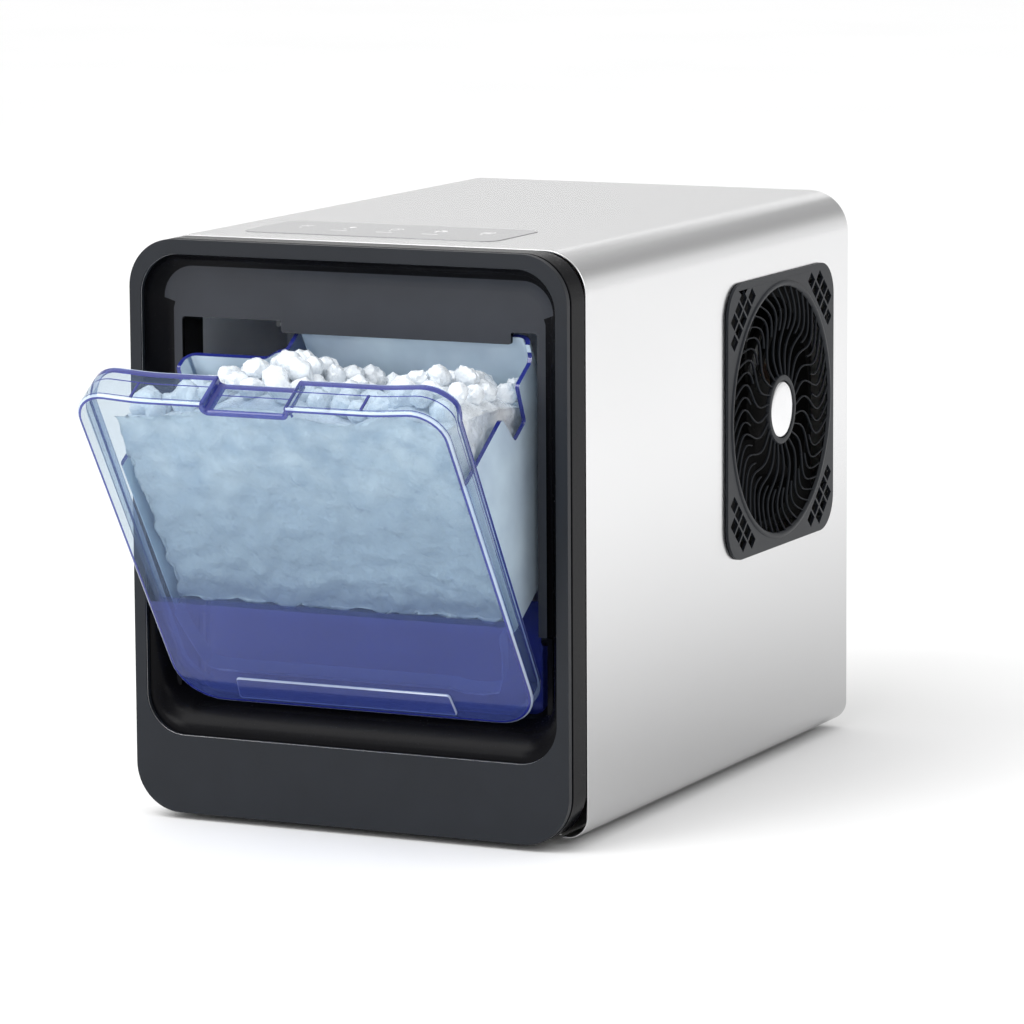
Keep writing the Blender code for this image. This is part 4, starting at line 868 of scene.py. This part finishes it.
def make_door_trim():
    """The raised pad low on the door's face, the web behind it and the ribs on the top rim."""
    pad = [(-73 * MM, 4.5 * MM, 2 * MM), (61 * MM, 4.5 * MM, 2 * MM), (60 * MM, 19.5 * MM, 2 * MM),
           (-71 * MM, 19.5 * MM, 2 * MM)]
    rows = []
    for inset, n in ((0, 0.4 * MM), (0, -0.6 * MM), (0.5 * MM, -1.2 * MM)):
        rows.append([(x, n, t) for x, t in outline(pad, inset, 5)])
    # The pad's edge bands take the painted highlight colour; its face takes the low blue.
    shape = skin(rows, zones=[1, 1])
    piece("door_foot_pad", shape, ["blue_deep", "blue_bright"], "bin", (), BIN)
    path = [(-98.6, 60), (-96, 46), (-92.5, 30), (-89.4, 22), (-84, 20), (-71.7, 19.6), (60, 19.6),
            (66, 17.5), (78, 17), (88, 19.5), (93, 30), (97, 46), (99, 60)]
    web = []
    for x, t in path:
        web.append([(x * MM, n * MM, (t + dt) * MM) for n, dt in ((4, 0), (13.4, 0), (13.4, 1.4),
                                                                  (4, 1.4))])
    shape = skin(web)
    # The web is coloured with the painted highlight colour, so it shows as a light line.
    piece("door_web", shape, "blue_bright", "bin", (), BIN)
    ribs = []
    for x in (-74 * MM, 62.7 * MM):
        ribs.append(block((x - 0.8 * MM, 2 * MM, DOOR_H - 0.3 * MM),
                          (x + 0.8 * MM, RIM_DEPTH, DOOR_H + 0.7 * MM)))
    piece("door_rim_ribs", joined(ribs), "blue_edge", "bin", (), BIN, bevel=0.3 * MM)


# ---------------------------------------------------------------- tray
def tray_plan():
    """The tray seen along t, as (x, n, radius) corners with a jog in its back."""
    jog = -38 * MM - TRAY_T
    return [(-TRAY_HALF_W, TRAY_FRONT, 5 * MM), (TRAY_HALF_W, TRAY_FRONT, 5 * MM),
            (TRAY_HALF_W, TRAY_BACK, 9 * MM), (jog, TRAY_BACK, 4 * MM), (jog, TRAY_STEP, 3 * MM),
            (-TRAY_HALF_W, TRAY_STEP, 8 * MM)]


def make_tray():
    top = 174 * MM
    over = 200 * MM
    outer = plate([outline(tray_plan(), 0, 8)], "Z", TRAY_FLOOR, top)
    inner = plate([outline(tray_plan(), TRAY_T, 8)], "Z", TRAY_FLOOR + TRAY_T, over)
    cut_end = TRAY_BACK - 9 * MM
    wall = [(-5, 162, 0), (65.5, 163, 3), (71, 142.5, 2.5), (87.5, 142.5, 2.5), (91, 164.5, 2),
            (cut_end / MM, 164.5, 5), (cut_end / MM + 3, 200, 0), (-5, 200, 0)]
    wall = outline([(n * MM, t * MM, r * MM) for n, t, r in wall], 0, 5)
    low_left = [(-TRAY_HALF_W - 2 * MM, 164.5, 0), (-53 * MM, 164.5, 6), (-44 * MM, 170, 4),
                (-37 * MM, 170, 0), (-36 * MM, 200, 0), (-TRAY_HALF_W - 2 * MM, 200, 0)]
    low_left = outline([(x, t * MM, r * MM) for x, t, r in low_left], 0, 5)
    front = outline(rect_corners(-TRAY_HALF_W + TRAY_T, TRAY_HALF_W - TRAY_T,
                                 TRAY_FLOOR + TRAY_T, over, 3 * MM), 0, 5)
    cutters = [inner, plate([low_left], "Y", 94 * MM, 130 * MM),
               plate([front], "Y", TRAY_FRONT - 5 * MM, TRAY_FRONT + 8 * MM)]
    for sign in (-1, 1):
        reach = sorted((sign * (TRAY_HALF_W + 2 * MM), sign * (TRAY_HALF_W - TRAY_T - 2 * MM)))
        cutters.append(plate([wall], "X", *reach))
    tray = cut(outer, *cutters)
    floor_top = TRAY_FLOOR + TRAY_T + 5 * MM
    # Upward faces take the deep blue edge colour; the back and side walls take the frosted colour, which carries
    # painted light.
    for face in tray.polygons:
        if face.center.z > floor_top and face.normal.z > 0.1:
            face.material_index = 1
        elif (face.center.y > TRAY_STEP - 5 * MM and face.normal.y < -0.8
              or abs(face.center.x) > TRAY_HALF_W - TRAY_T - MM):
            face.material_index = 2
    piece("ice_tray", tray, ["blue_wall", "blue_edge", "blue_frost"], "bin", ["bin_tray"], BIN,
          bevel=0.4 * MM, segments=2)


# ---------------------------------------------------------------- ice
def to_level(n, height):
    """The t of the point above n that lies at a height over the body's bottom."""
    rise = height - (HINGE.z - ORIGIN.z) - (n - HINGE_N) * math.sin(OPEN_ANGLE)
    return HINGE_T + rise / math.cos(OPEN_ANGLE)


def heap_height(x, n):
    """How high the ice is heaped over a point of the open tray: two mounds and a dip."""
    left = math.exp(-((x + 16 * MM) / (42 * MM)) ** 2)
    right = math.exp(-((x - 74 * MM) / (24 * MM)) ** 2)
    middle = math.exp(-((n - 62 * MM) / (52 * MM)) ** 2)
    return (233 + (23 * left + 22 * right) * middle) * MM


def heap_top(x, n):
    roof = DOOR_H - 9 * MM - 30 * MM * smoothstep(n, 70 * MM, 110 * MM)
    return min(to_level(n, heap_height(x, n)), roof)


def tray_inner_back(x):
    return 100 * MM + 17 * MM * smoothstep(x, -36 * MM, -30 * MM)


def make_ice():
    half = TRAY_HALF_W - TRAY_T - 1.2 * MM
    front, floor = TRAY_FRONT + TRAY_T + 0.8 * MM, TRAY_FLOOR + TRAY_T + 0.8 * MM
    counts = BED_STEPS
    work = bmesh.new()
    points = {}

    def corner(i, j, k):
        key = (i, j, k)
        if key not in points:
            u, v, w = i / counts[0], j / counts[1], k / counts[2]
            x = -half + 2 * half * u
            n = front + (tray_inner_back(x) - front) * v
            t = floor + (heap_top(x, n) - floor) * w
            lump = noise.voronoi(Vector((x, n, t)) / (11 * MM))[0][0]
            fine = noise.noise(Vector((x, n, t)) / (4 * MM))
            depth = (4.6 * lump + 0.9 * fine + 0.4) * MM
            inward = Vector((-1 if i == counts[0] else (1 if i == 0 else 0),
                             -1 if j == counts[1] else (1 if j == 0 else 0),
                             -1 if k == counts[2] else (1 if k == 0 else 0)))
            points[key] = work.verts.new(Vector((x, n, t)) + inward.normalized() * depth)
        return points[key]
    for axis in range(3):
        a, b = [other for other in range(3) if other != axis]
        for level in (0, counts[axis]):
            for p in range(counts[a]):
                for q in range(counts[b]):
                    ring = []
                    for dp, dq in ((0, 0), (1, 0), (1, 1), (0, 1)):
                        key = [0, 0, 0]
                        key[axis], key[a], key[b] = level, p + dp, q + dq
                        ring.append(corner(*key))
                    work.faces.new(ring)
    packed = mesh_from(work)
    # The bed's sides take the packed ice, whose colour carries painted shade towards the bottom.
    zone_faces(packed, lambda centre, normal: normal.z < 0.5)
    bed = piece("ice_bed", packed, ["ice", "packed_ice"], "bin", (), BIN, angle=180)
    settle(bed)
    make_nuggets(half)


def settle(obj):
    """Gives the object its own copy of its mesh; the loose ice does not move as the bin closes."""
    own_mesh(obj)


def make_nuggets(half):
    """Loose nuggets of ice on top of the bed."""
    rng = random.Random(7)
    work = bmesh.new()
    placed = []
    tries = 0
    while len(placed) < NUGGET_COUNT and tries < NUGGET_TRIES:
        tries += 1
        x = rng.uniform(-half + 8 * MM, half - 8 * MM)
        n = rng.uniform(30 * MM, tray_inner_back(x) - 9 * MM)
        t = heap_top(x, n) + rng.uniform(-2, 6) * MM
        spot = Vector((x, n, t))
        if any((spot - other).length < NUGGET_SPACING for other in placed):
            continue
        placed.append(spot)
        size = rng.uniform(*NUGGET_RADIUS) * MM
        stretch = Matrix.Diagonal((rng.uniform(0.8, 1.25), rng.uniform(0.75, 1.1),
                                   rng.uniform(0.7, 1.0), 1))
        turn = Matrix.Rotation(rng.uniform(0, math.tau), 4, Vector((rng.uniform(-1, 1),
                                                                    rng.uniform(-1, 1),
                                                                    rng.uniform(0.1, 1))))
        place = Matrix.Translation(spot) @ turn @ stretch
        made = bmesh.ops.create_icosphere(work, subdivisions=3, radius=size)["verts"]
        seed = Vector((rng.uniform(0, 90), rng.uniform(0, 90), rng.uniform(0, 90)))
        for vert in made:
            direction = vert.co.normalized()
            facet = noise.voronoi(direction * 1.5 + seed)[0][0]
            rough = noise.noise(direction * 4.5 + seed)
            vert.co = place @ (vert.co * (1.12 - 0.34 * facet + 0.10 * rough))
    nuggets = piece("ice_nuggets", mesh_from(work), "ice", "bin", (), BIN, angle=28)
    settle(nuggets)


# ---------------------------------------------------------------- CAD nodes that keep their shape
def dress_nodes():
    """Give every CAD node that stays visible the material of its own slot."""
    for name, look in NODE_LOOKS.items():
        mesh = frame["nodes"][name].data
        mesh.materials.clear()
        mesh.materials.append(LOOKS[look])


def node_looks():
    """Each CAD node's material slot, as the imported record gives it."""
    looks = {entry["node"]: entry["material_slot"] for entry in frame["record"]["subparts"]}
    looks.update({"hinge_pin_left": "gloss_black", "hinge_pin_right": "gloss_black",
                  "fan_frame": "fan_black", "fan_rotor": "fan_black"})
    return looks


# ---------------------------------------------------------------- studio
def area_light(name, where, aim, size, power, size_y=None):
    data = bpy.data.lights.new(name, "AREA")
    data.energy = power
    data.size = size
    if size_y:
        data.shape = "RECTANGLE"
        data.size_y = size_y
    obj = bpy.data.objects.new(name, data)
    bpy.context.scene.collection.objects.link(obj)
    obj.location = where
    obj.rotation_euler = (Vector(aim) - Vector(where)).to_track_quat("-Z", "Y").to_euler()


def make_floor():
    work = bmesh.new()
    bmesh.ops.create_grid(work, x_segments=2, y_segments=2, size=60)
    floor = bpy.data.objects.new("studio_floor", mesh_from(work))
    bpy.context.scene.collection.objects.link(floor)
    floor.data.materials.append(surface("studio_floor", (0.93, 0.93, 0.93), 0.7, 0.0, 0.01, 2, 20,
                                        0.01))


def make_world():
    """A white studio with a grey band a little above the horizon."""
    world = bpy.data.worlds.new("studio")
    bpy.context.scene.world = world
    world.use_nodes = True
    tree = world.node_tree
    background = tree.nodes["Background"]
    place = node(tree, "ShaderNodeTexCoord")
    split = node(tree, "ShaderNodeSeparateXYZ")
    ramp = node(tree, "ShaderNodeValToRGB")
    ramp.color_ramp.interpolation = "B_SPLINE"
    stops = [(0.0, 0.95), (0.50, 0.90), (0.575, 0.84), (0.625, 0.46), (0.70, 0.24), (0.78, 0.90),
             (1.0, 1.05)]
    ramp.color_ramp.elements[0].position = stops[0][0]
    ramp.color_ramp.elements[1].position = stops[-1][0]
    for position, _ in stops[1:-1]:
        ramp.color_ramp.elements.new(position)
    for element, (_, value) in zip(ramp.color_ramp.elements, stops):
        element.color = (value, value, value, 1)
    half = node(tree, "ShaderNodeMapRange")
    half.inputs["From Min"].default_value = -1
    half.inputs["From Max"].default_value = 1
    tree.links.new(place.outputs["Generated"], split.inputs["Vector"])
    tree.links.new(split.outputs["Z"], half.inputs["Value"])
    tree.links.new(half.outputs["Result"], ramp.inputs["Fac"])
    tree.links.new(ramp.outputs["Color"], background.inputs["Color"])
    background.inputs["Strength"].default_value = 1.0


def make_lights():
    aim = (0, 0, BODY_H / 2)
    area_light("key_light", (-1.6, -2.4, 2.2), aim, 1.6, 25)
    area_light("front_light", (-0.75, -2.6, 0.95), aim, 0.8, 16)
    area_light("side_light", (2.6, -0.8, 1.6), aim, 1.6, 12)
    area_light("front_strip", (-0.4, -1.5, 2.3), aim, 2.2, 6, 0.3)
    area_light("strip_light", (-1.3, 3.6, 1.6), aim, 2.2, 3, 0.35)
    sun = bpy.data.lights.new("sky_light", "SUN")
    sun.energy = 1.1
    sun.angle = math.radians(50)
    lamp = bpy.data.objects.new("sky_light", sun)
    bpy.context.scene.collection.objects.link(lamp)
    lamp.rotation_euler = (math.radians(32), math.radians(-22), 0)


def make_camera():
    """The view: azimuth round from the front, elevation over the horizon and a slight roll."""
    azimuth, elevation, roll = (math.radians(a) for a in (25.366, 8.689, -0.331))
    distance, lens = 3.07051, 190.71
    target = ORIGIN + Vector((28.577, 150, 155.97)) * MM
    forward = Vector((-math.sin(azimuth) * math.cos(elevation),
                      math.cos(azimuth) * math.cos(elevation), -math.sin(elevation)))
    level = Vector((math.cos(azimuth), math.sin(azimuth), 0))
    upright = level.cross(forward)
    right = level * math.cos(roll) + upright * math.sin(roll)
    up = -level * math.sin(roll) + upright * math.cos(roll)
    turn = Matrix((right, up, -forward)).transposed()
    data = bpy.data.cameras.new("camera")
    data.lens = lens
    data.sensor_width = 36
    data.clip_end = 200
    camera = bpy.data.objects.new("camera", data)
    bpy.context.scene.collection.objects.link(camera)
    camera.matrix_world = Matrix.Translation(target - forward * distance) @ turn.to_4x4()
    bpy.context.scene.camera = camera


LOOKS = make_looks()
NODE_LOOKS = node_looks()
make_camera()
make_world()
make_lights()
make_floor()
dress_nodes()
make_front()
make_wrap()
make_recess()
make_panel()
make_grille()
make_door()
make_tray()
make_ice()
bpy.context.scene.view_settings.view_transform = "Standard"
bpy.context.view_layer.update()
